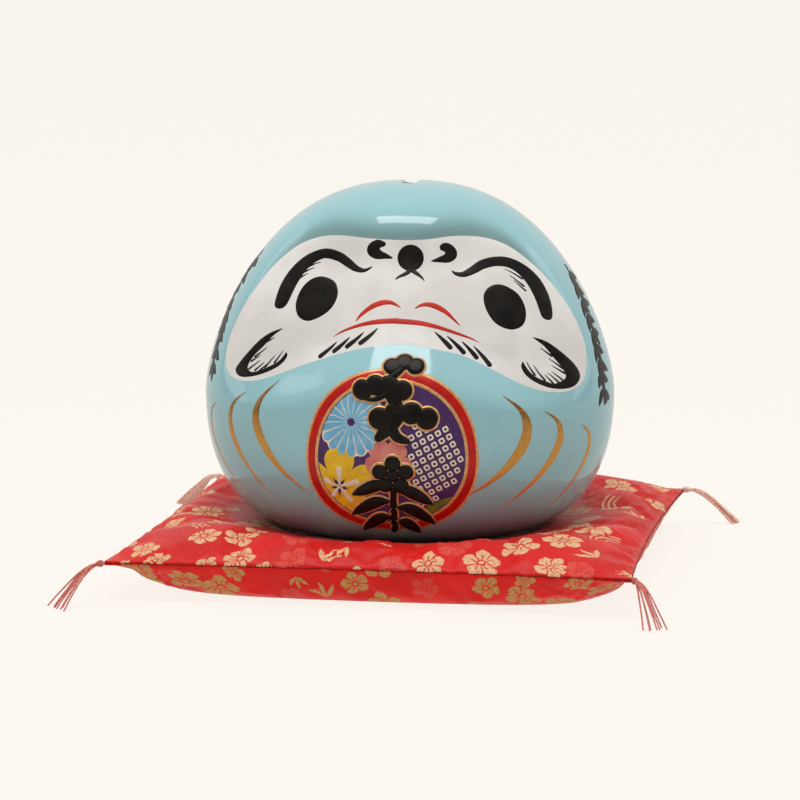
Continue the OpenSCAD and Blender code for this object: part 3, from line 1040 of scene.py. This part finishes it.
def sprig(shells, stem, seed):
    """Bamboo brushed down the doll's side: a jointed stem, with leaves in threes."""
    rng = random.Random(seed)
    line = curve(stem, 10)
    for k in range(0, 50, 10):
        stroke(shells, line[k:k + 10:3], [2.0, 1.4, 1.4, 2.0], lift=0.1)
    for k in range(9):
        a, z = line[3 + 5 * k]
        for turn in (-52, -8, 44):
            heading = math.radians(-90 + (turn + rng.uniform(-10, 10)) * (1 if k % 2 else -1))
            length = rng.uniform(5.5, 8.0)
            per_a, per_z = (float(s) for s in stretch(a, z))
            spots = [(a + length * s * math.cos(heading + 0.25 * s) / per_a,
                      z + length * s * math.sin(heading + 0.25 * s) / per_z) for s in DASH_SHARES]
            stroke(shells, spots, [0.5, 2.9, 2.4, 0.2], lift=0.11)


SPRIGS = {
    "side_sprig_left": [(-79, 101), (-81, 93), (-79, 85), (-75, 78), (-73, 69), (-71, 60)],
    "side_sprig_right": [(83, 97), (80, 89), (77, 80), (75, 71), (73, 62), (74, 53)],
}
for seed, (name, stem) in enumerate(SPRIGS.items()):
    leaves = Shells()
    sprig(leaves, stem, seed + 10)
    finish_piece(leaves, name)


# ================= the cushion =================

CUSHION_CELLS = 128
CLOTH_BUMP = 0.00012
CLOTH_TRIES = 900  # places tried for strewn motifs
MOTIF_GROW = 1.15
SIM_FRAMES = 20
MOVE_CAP = 1.6  # furthest that the simulation may move the cloth
SEAT_R = 54
SEAT_FADE = 8
RIM_HOLD = 0.6  # how firmly the seam is held


def turned(points):
    """Points turned with the cushion about the vertical."""
    c, s = math.cos(math.radians(TURN)), math.sin(math.radians(TURN))
    x, y = points[..., 0], points[..., 1]
    return np.stack([x * c - y * s, x * s + y * c, points[..., 2]], -1)


def share_from_seam(u, v):
    return (1 - u * u) * (1 - v * v)


def plan(u, v):
    return (HALF_SIDE * u * (1 - SIDE_PULL * (1 - v * v)), HALF_SIDE * v * (1 - SIDE_PULL * (1 - u * u)))


def under_height(u, v):
    """Height of the underside: flat in the middle, rising to the seam."""
    rim = SEAM_Z - CLOTH_T - 0.1
    outside = np.maximum(0, np.maximum(abs(u), abs(v)) - STAND_SHARE)
    rise = (1 - np.minimum(1, share_from_seam(u, v) / FLAT_SHARE)) ** 2
    return (rim - EDGE_LIFT) * rise + EDGE_LIFT * outside / (1 - STAND_SHARE)


def over_height(u, v):
    """Height of the crown, with the dent that the doll presses into it."""
    x, y = plan(u, v)
    full = np.minimum(1, share_from_seam(u, v) / CROWN_SHARE)
    crown = SEAM_Z + CLOTH_T + CROWN_H * np.sin(full * math.pi / 2) ** 0.8
    out = np.maximum(0, np.hypot(x, y / DEPTH_RATIO) - DENT_R)
    dent = DENT_Z + DENT_SLOPE * np.minimum(out, DENT_RUN) + RIM_SLOPE * np.maximum(0, out - DENT_RUN)
    lower = np.minimum(crown, dent)
    return lower - DENT_BLEND * 0.25 * np.maximum(0, 1 - abs(crown - dent) / DENT_BLEND) ** 2


def cushion_grid(cells):
    k = np.linspace(-1, 1, cells + 1)
    place = (k + np.sin(k * math.pi / 2)) / 2
    return np.meshgrid(place, place, indexing="ij")


def flat_cloth(surface):
    """Where each point lies on the flat cloth, in millimetres from its middle."""
    middle = CUSHION_CELLS // 2
    du = np.linalg.norm(np.diff(surface, axis=0), axis=-1)
    dv = np.linalg.norm(np.diff(surface, axis=1), axis=-1)
    u = np.concatenate([np.zeros((1, du.shape[1])), np.cumsum(du, axis=0)])
    v = np.concatenate([np.zeros((dv.shape[0], 1)), np.cumsum(dv, axis=1)], axis=1)
    return u - u[middle], v - v[:, middle:middle + 1]


def nearest_motif(motifs, flat):
    """The motif that a place on the flat cloth belongs to, or None between motifs."""
    best, closest = None, 1.0
    for motif in motifs:
        away = math.hypot(flat[0] - motif[1][0], flat[1] - motif[1][1]) / (1.45 * motif[2])
        if away < closest:
            best, closest = motif, away
    return best


def lay_motifs(mesh, flat, motifs):
    """Stores each face corner's place in its own motif: x and y as shares of the motif's radius,
    and the motif's kind."""
    values = np.zeros((len(mesh.loops), 3), np.float32)
    for face in mesh.polygons:
        corners = flat[list(face.vertices)]
        motif = nearest_motif(motifs, corners.mean(axis=0))
        if motif is None:
            continue
        kind, middle, radius, heading = motif
        away = (corners[:, :2] - middle) / radius
        c, s = math.cos(math.radians(heading)), math.sin(math.radians(heading))
        for corner, (x, y) in zip(face.loop_indices, away):
            values[corner] = (x * c + y * s, y * c - x * s, kind)
    layer = mesh.attributes.new("motif", "FLOAT_VECTOR", "CORNER")
    layer.data.foreach_set("vector", values.ravel())


def cover(name, outside, inside, motifs, material):
    """A cover panel: cloth between two surfaces, which carries its flat coordinates."""
    points, faces = grid_shell(outside, inside)
    mesh = new_mesh(name, points, faces)
    u, v = flat_cloth(outside)
    flat = np.stack([u, v, np.zeros_like(u)], -1).reshape(-1, 3)
    flat = np.concatenate([flat, flat])
    cloth = mesh.attributes.new("cloth", "FLOAT_VECTOR", "POINT")
    cloth.data.foreach_set("vector", flat.astype(np.float32).ravel())
    clean(mesh, 60, join=False)
    lay_motifs(mesh, flat, motifs)
    return new_object(name, mesh, material)


# Kinds of motif, as stored in the mesh: blossoms are their number of petals
TONE_FIVE = 15
SPRIG = 30
WAVE = 40


def one_kind(g, kind, code):
    """1 where the motif is of that kind."""
    return g.math("COMPARE", kind, float(code), 0.5)


def blossom_masks(g, r, heading, petals):
    """A round-petalled blossom of radius 1, and the marks inside it."""
    sector = 2 * math.pi / petals
    folded = g.math("WRAP", heading, sector / 2, -sector / 2)
    px = g.minus(g.times(r, g.math("COSINE", folded)), 0.60)
    py = g.times(r, g.math("SINE", folded))
    gap = g.math("SQRT", g.plus(g.times(px, px), g.times(py, py)))
    petal = g.step(gap, 2.10 / petals, 1.90 / petals)
    whole = g.math("MAXIMUM", petal, g.step(r, 0.30, 0.24))
    eye = g.step(g.size(g.minus(r, 0.20)), 0.07, 0.03)
    stamen = g.times(g.step(g.size(py), 0.055, 0.02), g.step(r, 0.26, 0.30), g.step(r, 0.62, 0.54))
    seam = g.times(g.step(g.minus(sector / 2, g.size(folded)), 0.12, 0.05), g.step(r, 0.24, 0.32))
    marks = g.math("MAXIMUM", eye, g.math("MAXIMUM", stamen, seam))
    return whole, g.times(marks, whole)


def sprig_mask(g, r, heading):
    """Three pointed leaves that spread from a point."""
    sector = math.radians(44)
    inside = g.step(g.size(heading), 1.5 * sector, 1.45 * sector)
    folded = g.math("WRAP", heading, sector / 2, -sector / 2)
    lx = g.times(r, g.math("COSINE", folded))
    ly = g.size(g.times(r, g.math("SINE", folded)))
    belly = g.math("MAXIMUM", g.times(lx, g.minus(1.15, lx)), 0.0)
    return g.times(g.step(g.minus(g.times(belly, 0.42), ly), -0.01, 0.02), inside)


def wave_mask(g, r, heading):
    """Three nested arcs, thinner inwards."""
    lines = g.math("COSINE", g.times(g.minus(r, 1.0), 2 * math.pi / 0.16))
    band = g.times(g.step(r, 0.60, 0.62), g.step(r, 1.05, 1.03))
    return g.times(g.step(lines, 0.1, 0.5), band, g.step(g.size(heading), 0.95, 0.90))


def brocade(name, thread_colour, ground_red):
    """Red satin with woven blossoms, bamboo leaves, waves, and flowers in a paler red."""
    material, g, shader, _ = new_material(
        name, Sheen_Weight=0.05, Sheen_Roughness=0.35, Specular_IOR_Level=0.22)
    cloth = g.node("Attribute", attribute_name="cloth").outputs["Vector"]
    motif = g.node("Attribute", attribute_name="motif").outputs["Vector"]
    x, y, kind = g.node("SeparateXYZ", {"Vector": motif}).outputs
    r = g.math("SQRT", g.plus(g.times(x, x), g.times(y, y)))
    heading = g.math("ARCTAN2", y, x)
    five, five_marks = blossom_masks(g, r, heading, 5)
    six, six_marks = blossom_masks(g, r, heading, 6)
    is_five, is_six = one_kind(g, kind, 5), one_kind(g, kind, 6)
    flower = g.plus(g.times(g.minus(five, five_marks), is_five), g.times(g.minus(six, six_marks), is_six))
    leaves = g.times(sprig_mask(g, r, heading), one_kind(g, kind, SPRIG))
    waves = g.times(wave_mask(g, r, heading), one_kind(g, kind, WAVE))
    worn = g.step(g.noise(1.9, 2.0, cloth), 0.25, 0.38)
    woven = g.times(g.plus(leaves, waves, flower), worn)
    pale = g.times(g.minus(five, five_marks), one_kind(g, kind, TONE_FIVE))
    specks = g.node("TexVoronoi", {"Vector": cloth, "Scale": 2.4}).outputs["Color"]
    fibres = g.step(g.node("SeparateColor", {"Color": specks}).outputs[0], 0.10, 0.35)
    twill = g.node("TexWave", {"Vector": cloth, "Scale": 0.55, "Distortion": 0.4, "Detail": 1.0},
                   wave_type="BANDS", bands_direction="DIAGONAL").outputs["Fac"]
    depth = g.noise(0.045, 3.0, cloth)
    ground = g.mix(g.step(depth, 0.3, 0.7), ground_red, tuple(c * 0.8 for c in ground_red))
    ground = g.mix(g.times(twill, 0.22), ground, tuple(min(1, c * 1.25 + 0.01) for c in ground_red))
    ground = g.mix(g.times(pale, 0.45), ground, (0.72, 0.12, 0.08))
    yarn = g.mix(fibres, tuple(c * 0.62 for c in thread_colour), thread_colour)
    raised = g.plus(g.times(woven, 0.6), g.times(twill, 0.35))
    g.finish(shader, g.mix(woven, ground, yarn), g.bump(raised, CLOTH_BUMP, 0.7),
             g.math("MULTIPLY_ADD", woven, 0.18, 0.42))
    return material


# Motifs on the flat cloth, by kind: the middle and radius in millimetres, and the turn
TOP_MOTIFS = {
    5: [(-42, -66, 5.0, 10), (-71, -74, 4.2, 0), (-65, -81, 3.2, 30), (-49, -82, 3.0, 0),
        (-31, -83, 2.6, 10), (19, -79, 4.4, 20), (35.5, -77.5, 5.2, 18), (46, -67, 5.4, 0),
        (58.5, -60.5, 5.4, 40), (57, -78, 4.4, 54), (64, -35, 5.6, 10), (67, 14, 5.4, 25), (63, 48, 5.2, 0),
        (-72, -40, 5.4, 15), (-74, 16, 5.4, 30), (-62, 44, 5.0, 5), (-10, 72, 5.2, 20), (22, 66, 5.4, 0),
        (-28, 78, 4.0, 0), (74, 66, 4.4, 20), (-76, 70, 4.6, 0)],
    6: [(-40, -78.5, 4.6, 0), (-53.5, -67, 5.0, 20), (76, 36, 5.6, 0), (-64, -14, 5.2, 0),
        (-40, 64, 5.2, 12), (48, 74, 5.0, 0)],
    SPRIG: [(-14, -78, 5.4, 60), (-7, -72, 4.4, 230), (70, -70, 5.6, 140), (6, -70, 4.4, 100),
            (76, 0, 5.4, 130), (-76, -10, 5.4, 60), (-52, 56, 5.4, 240), (6, 82, 5.0, 260)],
    WAVE: [(-64, -62, 9, 70), (75, -46, 9, 150), (72, 24, 10, 200), (-66, 28, 10, 20), (34, 76, 9, 250)],
    TONE_FIVE: [(-23, -79, 4.6, 0), (26, -70, 4.8, 15), (66, -79, 4.0, 0), (-24, -68, 4.0, 30),
                (8, -80, 4.0, 0), (70, -20, 5.0, 0), (-62, -50, 4.6, 20), (-72, 2, 5.0, 0),
                (-56, 72, 5.0, 0), (60, 64, 5.0, 0), (0, 62, 4.4, 0), (75, 52, 4.6, 30)],
}
LOW_MOTIFS = {
    5: [(-70, -69.5, 4.8, 0), (-46.5, -73.5, 5.4, 54), (-41, -82, 3.0, 0), (47.5, -74, 4.8, 20),
        (48.5, -82, 2.8, 0), (58, -67, 4.8, 0), (72, -40, 5.2, 10), (70, 46, 5.0, 30), (-74, -24, 5.2, 0),
        (-76, 26, 5.0, 12), (-60, 72, 5.2, 0), (-12, 76, 5.2, 40), (0, 20, 5.4, 0), (-30, 10, 5.4, 10),
        (-14, -36, 5.4, 25), (40, 30, 5.4, 0), (-36, 46, 5.4, 0)],
    6: [(-57.6, -76, 5.2, 10), (76, 8, 5.2, 0), (30, 74, 5.2, 0), (28, -16, 5.4, 0)],
    SPRIG: [(-13, -73, 5.0, 250), (-22, -81, 3.6, 80), (10, 48, 5.4, 100), (56, 4, 5.4, 240),
            (-56, -2, 5.4, 60)],
    WAVE: [(10, -10, 10, 40), (-50, 26, 10, 200), (56, -36, 9, 100)],
    TONE_FIVE: [(18, -78, 3.8, 0), (-24, -73, 3.2, 0), (66, -12, 5.0, 0), (-68, 50, 5.0, 0),
                (8, 66, 5.0, 0), (-4, -60, 5.0, 10)],
}


def scattered(motifs, seed):
    """The motifs with more blossoms, leaves and pale flowers strewn between them."""
    rng = random.Random(seed)
    kinds = [5, 5, TONE_FIVE, SPRIG, 6, 5, TONE_FIVE]
    strewn = [(kind, (u, v), radius * MOTIF_GROW, heading)
              for kind, places in motifs.items() for u, v, radius, heading in places]
    for k in range(CLOTH_TRIES):
        middle = (rng.uniform(-92, 92), rng.uniform(-92, 92))
        radius = rng.uniform(4.2, 6.0)
        apart = min(math.hypot(middle[0] - m[1][0], middle[1] - m[1][1]) - m[2] for m in strewn)
        if apart > radius * 1.15:
            strewn.append((kinds[k % len(kinds)], middle, radius, rng.uniform(0, 360)))
    return strewn


def billow(u, v):
    """How far the filled bag's cloth moves when it is let go: a short cloth simulation, with the
    doll's seat, the flat underside and the corners held. Two grids of moves, in millimetres."""
    x, y = plan(u, v)
    top = np.stack([x, y, over_height(u, v)], -1)
    low = np.stack([x, y, under_height(u, v)], -1)
    seat = 1 - smooth((np.hypot(x, y / DEPTH_RATIO) - SEAT_R) / SEAT_FADE)
    rim = RIM_HOLD * smooth((np.maximum(abs(u), abs(v)) - 0.97) / 0.03)
    firm = np.maximum(rim, smooth((abs(u) * abs(v) - 0.84) / 0.1))
    held_top = np.maximum(seat, firm)
    held_low = np.maximum(1 - smooth((low[..., 2] - 0.8) / 2.5), firm)
    points, faces = grid_shell(top, low)
    mesh = new_mesh("bag", points, faces)
    clean(mesh, 60, join=False)
    bag = new_object("bag", mesh)
    held = bag.vertex_groups.new(name="held")
    for index, weight in enumerate(np.concatenate([held_top.ravel(), held_low.ravel()])):
        held.add([index], float(weight), "REPLACE")
    cloth = bag.modifiers.new("cloth", "CLOTH")
    settings = cloth.settings
    settings.quality = 6
    settings.mass = 0.2
    settings.tension_stiffness = settings.compression_stiffness = 12
    settings.shear_stiffness = 6
    settings.bending_stiffness = 0.05
    settings.shrink_min = -0.035
    settings.use_pressure = True
    settings.uniform_pressure_force = 4
    settings.effector_weights.gravity = 0
    settings.vertex_group_mass = "held"
    cloth.point_cache.frame_end = SIM_FRAMES
    for number in range(1, SIM_FRAMES + 1):
        bpy.context.scene.frame_set(number)
    settled = bpy.data.meshes.new_from_object(bag.evaluated_get(bpy.context.evaluated_depsgraph_get()))
    moved = np.zeros(len(settled.vertices) * 3)
    settled.vertices.foreach_get("co", moved)
    moved = moved.reshape(2, *top.shape) / MM
    bpy.data.objects.remove(bag)
    bpy.context.scene.frame_set(1)
    moves = []
    for after, before, still in ((moved[0], top, held_top), (moved[1], low, held_low)):
        move = after - before
        size = np.linalg.norm(move, axis=-1, keepdims=True)
        move = move * np.minimum(1, MOVE_CAP / np.maximum(size, 1e-6)) * (1 - still[..., None])
        moves.append(move)
    return moves


def refined(grid):
    """A grid of points with one more between each two."""
    rows = np.zeros((2 * grid.shape[0] - 1, *grid.shape[1:]))
    rows[::2] = grid
    rows[1::2] = (grid[1:] + grid[:-1]) / 2
    both = np.zeros((rows.shape[0], 2 * rows.shape[1] - 1, 3))
    both[:, ::2] = rows
    both[:, 1::2] = (rows[:, 1:] + rows[:, :-1]) / 2
    return both


def wrinkled(top, low):
    """Both panels' surfaces after the simulation."""
    moves = [refined(move) for move in billow(*cushion_grid(CUSHION_CELLS // 2))]
    shared = (moves[0] + moves[1]) / 2
    seam = np.zeros(top.shape[:2] + (1,))
    seam[[0, -1]] = 1
    seam[:, [0, -1]] = 1
    top = top + moves[0] * (1 - seam) + shared * seam
    low = low + moves[1] * (1 - seam) + shared * seam
    low[..., 2] = np.maximum(low[..., 2], 0)
    return top, low


u, v = cushion_grid(CUSHION_CELLS)
x, y = plan(u, v)
top_outside = np.stack([x, y, over_height(u, v)], -1)
low_outside = np.stack([x, y, under_height(u, v)], -1)
top_outside, low_outside = wrinkled(top_outside, low_outside)
top_outside = turned(top_outside)
low_outside = turned(low_outside)
top_inside = top_outside - [0, 0, CLOTH_T]
low_inside = low_outside + [0, 0, CLOTH_T]

cover_top = cover("cushion_top", top_outside, top_inside, scattered(TOP_MOTIFS, 5),
                  brocade("brocade_top", CREAM_THREAD, BROCADE_RED))
# the lower panel is a lit and shaded copy of the top's brocade: red painted brighter, threads painted darker
# and browner as shade
cover_low = cover("cushion_bottom", low_outside, low_inside, scattered(LOW_MOTIFS, 6),
                  brocade("brocade_bottom", (0.66, 0.32, 0.10), BROCADE_LOW_RED_BRIGHTENED))
for obj, node in ((cover_top, "cushion_cover_top"), (cover_low, "cushion_cover_bottom")):
    attach(obj, "cushion", node)


def thread_material(name, colour, second, sheen=0.4, shine=0.5):
    """Twisted silk thread: fine twist, streaks of colour and a soft sheen."""
    material, g, shader, place = new_material(
        name, Roughness=0.55, Sheen_Weight=sheen, Sheen_Roughness=0.3, Specular_IOR_Level=shine)
    streaks = g.step(g.noise(1400, 2.0, place), 0.35, 0.65)
    g.finish(shader, g.mix(streaks, colour, second), g.bump(g.noise(5200, 1.0, place), 0.0001))
    return material


# ---- the seam: a dark thread sunk between the panels, painted shade for the shadow in the gap ----

def edge_points(surface):
    """The rim of a grid of points, once round."""
    return np.concatenate([surface[:-1, 0], surface[-1, :-1], surface[:0:-1, -1], surface[0, :0:-1]])


seam_line = (edge_points(top_inside) + edge_points(low_inside)) / 2
seam_line = seam_line * (1.0012, 1.0012, 1)
seam_shadow = Shells()
STITCH_POINTS = 4
for k in range(STITCH_POINTS, len(seam_line) - STITCH_POINTS, STITCH_POINTS):
    tube(seam_shadow, seam_line[k - STITCH_POINTS:k + 1], [0.08, 0.20, 0.22, 0.20, 0.08], 6)
# painted shade: a near-black red thread that stands for the seam's shadow
SEAM_SHADE_THREAD = thread_material("seam_shade_thread", (0.20, 0.006, 0.004), (0.30, 0.010, 0.006), sheen=0, shine=0.05)
attach(seam_shadow.make("seam_shadow_stitches", SEAM_SHADE_THREAD), "cushion")


# ================= tassels =================

THREAD_RED = thread_material("thread_red", (0.52, 0.075, 0.05), (0.68, 0.20, 0.15))
THREAD_PINK = thread_material("thread_pink", (0.80, 0.38, 0.29), (0.90, 0.60, 0.48))

# Each tassel: corner signs, turn away from its diagonal, threads, fan width, thickness and look
TASSELS = {
    "tassel_front_left": ((-1, -1), 9, 8, 8.5, 0.32, THREAD_RED),
    "tassel_front_right": ((1, -1), -17, 8, 7.0, 0.32, THREAD_RED),
    "tassel_back_right": ((1, 1), -33, 46, 5.0, 0.32, THREAD_PINK),
    "tassel_back_left": ((-1, 1), 8, 50, 8.0, 0.34, THREAD_PINK),
}
KNOT_OUT = 1.6  # from the cushion's corner to the middle of the knot
KNOT_TURNS = 5
TASSEL_REACH = 17


def tassel(name, signs, yaw, threads, fan, thickness, material, seed):
    """Threads that leave a knot at the cushion's corner, arch over and fall to the table."""
    rng = random.Random(seed)
    sx, sy = signs
    away = math.radians(TURN + math.degrees(math.atan2(sy, sx)) + yaw)
    corner = turned(np.array([(HALF_SIDE + KNOT_OUT) * sx, (HALF_SIDE + KNOT_OUT) * sy, SEAM_Z]))
    out = np.array([math.cos(away), math.sin(away), 0])
    side = np.array([-out[1], out[0], 0])
    up = np.array([0, 0, 1.0])
    shells = Shells()
    coil = []
    for s in np.linspace(0, 1, 40):
        t = 2 * math.pi * KNOT_TURNS * s
        radius = 0.25 + 0.6 * math.sin(math.pi * s ** 0.6)
        coil.append(corner + out * (2.7 * s - 1.9) + radius * (side * math.cos(t) + up * math.sin(t)))
    tube(shells, coil, 0.30, 8)
    for k in range(threads):
        spread = (k + 0.5) / threads * 2 - 1 + rng.uniform(-0.12, 0.12)
        reach = TASSEL_REACH * rng.uniform(0.82, 1.0)
        rise = rng.uniform(-0.3, 0.5)
        layer = rng.uniform(-0.8, 0.8)
        sag = rng.uniform(-0.5, 0.5)
        points = []
        for s in (0, 0.12, 0.3, 0.5, 0.7, 0.86, 1.0):
            fall = (SEAM_Z - 0.45 - 0.3 * (layer + 0.8)) * s ** 1.5
            height = (rise + 0.3) * math.sin(math.pi * min(1, s * 1.6)) - fall
            sideways = fan / 2 * spread * s ** 1.2 + 0.5 * sag * math.sin(math.pi * s * 1.4) * (1 - 0.3 * s)
            points.append(corner + out * (0.4 + reach * s) + side * (sideways + 0.35 * spread)
                          + up * (height + 0.35 * layer * (1 - s)))
        line = curve(points, 4)
        tube(shells, line, thickness * np.linspace(1, 0.75, len(line)), 5)
    attach(shells.make(name + "_threads", material), name, name)


for seed, (name, values) in enumerate(TASSELS.items()):
    tassel(name, *values, seed=seed + 3)


# ================= filling and stopper =================

def cotton_material():
    """Off-white cotton wadding."""
    material, g, shader, place = new_material("cotton", Roughness=0.95, Sheen_Weight=0.3)
    tufts = g.noise(260, 5.0, place)
    colour = g.mix(g.step(tufts, 0.3, 0.7), (0.80, 0.77, 0.70), (0.62, 0.58, 0.50))
    g.finish(shader, colour, g.bump(tufts, 0.0008))
    return material


def rubber_material():
    """Dark moulded rubber with a fine matt grain."""
    material, g, shader, place = new_material("stopper_rubber", Specular_IOR_Level=0.3)
    bloom = g.step(g.noise(120, 4.0, place), 0.4, 0.7)
    g.finish(shader, g.mix(bloom, (0.035, 0.035, 0.037), (0.075, 0.073, 0.070)),
             g.bump(g.noise(1500, 2.0, place), 0.00006), g.math("MULTIPLY_ADD", bloom, 0.2, 0.55))
    return material


RIM_CELLS = 10  # cells of the covers next to the seam that the wadding leaves empty
inner = slice(RIM_CELLS, -RIM_CELLS)
wadding = Shells()
wadding.add(*grid_shell(top_inside[inner, inner] - [0, 0, 0.3], low_inside[inner, inner] + [0, 0, 0.3]))
filling = wadding.make("cushion_wadding", cotton_material())
attach(filling, "cushion", "cushion_filling")

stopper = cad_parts["stopper"]
stopper.data.materials.clear()
stopper.data.materials.append(rubber_material())


# ================= stage and light =================

WORLD_LOW = (0.27, 0.27, 0.27)
WORLD_HIGH = (0.80, 0.79, 0.77)
PAPER_SEEN = 0.90
PAPER_THROWN = 0.70


def floor_material():
    """Pale paper, evenly lit: it throws a little less light on the doll than the camera sees."""
    material, g, shader, place = new_material("paper", Roughness=0.9, Specular_IOR_Level=0.0)
    grain = g.noise(300, 3.0, place)
    g.put(shader.inputs["Base Color"], g.mix(grain, (0.070, 0.066, 0.062), (0.076, 0.072, 0.067)))
    shader.inputs["Emission Color"].default_value = (1.0, 0.957, 0.893, 1)
    seen = g.node("LightPath").outputs["Is Camera Ray"]
    strength = g.math("MULTIPLY_ADD", seen, PAPER_SEEN - PAPER_THROWN, PAPER_THROWN)
    g.put(shader.inputs["Emission Strength"], strength)
    return material


def sweep():
    """A paper sweep: floor, a round bend and a wall behind, in metres."""
    front, bend_y, bend_r, height, half_width = -3.0, 1.6, 0.9, 4.0, 4.0
    profile = [(front, 0.0), (bend_y, 0.0)]
    for k in range(1, 13):
        t = math.radians(90 * k / 12)
        profile.append((bend_y + bend_r * math.sin(t), bend_r * (1 - math.cos(t))))
    profile.append((bend_y + bend_r, height))
    points = [(x, y, z) for y, z in profile for x in (-half_width, half_width)]
    faces = [(2 * k, 2 * k + 1, 2 * k + 3, 2 * k + 2) for k in range(len(profile) - 1)]
    mesh = bpy.data.meshes.new("sweep")
    mesh.from_pydata(points, [], faces)
    for face in mesh.polygons:
        face.use_smooth = True
    new_object("sweep", mesh, floor_material())


def area_light(name, azimuth, elevation, distance, size, power):
    """A softbox that faces the doll; its place is seen from the doll, azimuth 0 in front."""
    data = bpy.data.lights.new(name, "AREA")
    data.shape = "RECTANGLE"
    data.size, data.size_y = size
    data.energy = power
    obj = new_object(name, data)
    a, e = math.radians(azimuth), math.radians(elevation)
    away = Vector((math.sin(a) * math.cos(e), -math.cos(a) * math.cos(e), math.sin(e)))
    obj.location = Vector((0, 0, 0.06)) + away * distance
    obj.rotation_mode = "QUATERNION"
    obj.rotation_quaternion = away.to_track_quat("Z", "Y")


sweep()
area_light("softbox", -5, 70, 1.2, (0.92, 0.42), 8.0)
area_light("fill_left", -100, 25, 1.8, (0.9, 1.2), 4.0)
area_light("fill_right", 105, 25, 1.8, (0.9, 1.2), 4.0)
world = bpy.data.worlds.new("studio")
world.use_nodes = True
sky = Graph(world.node_tree)
upward = sky.node("SeparateXYZ", {"Vector": sky.node("TexCoord").outputs["Generated"]}).outputs["Z"]
lit = sky.mix(sky.step(upward, 0.25, 0.95), WORLD_LOW, WORLD_HIGH)
sky.put(world.node_tree.nodes["Background"].inputs["Color"], lit)
bpy.context.scene.world = world
bpy.context.scene.view_settings.view_transform = "Standard"
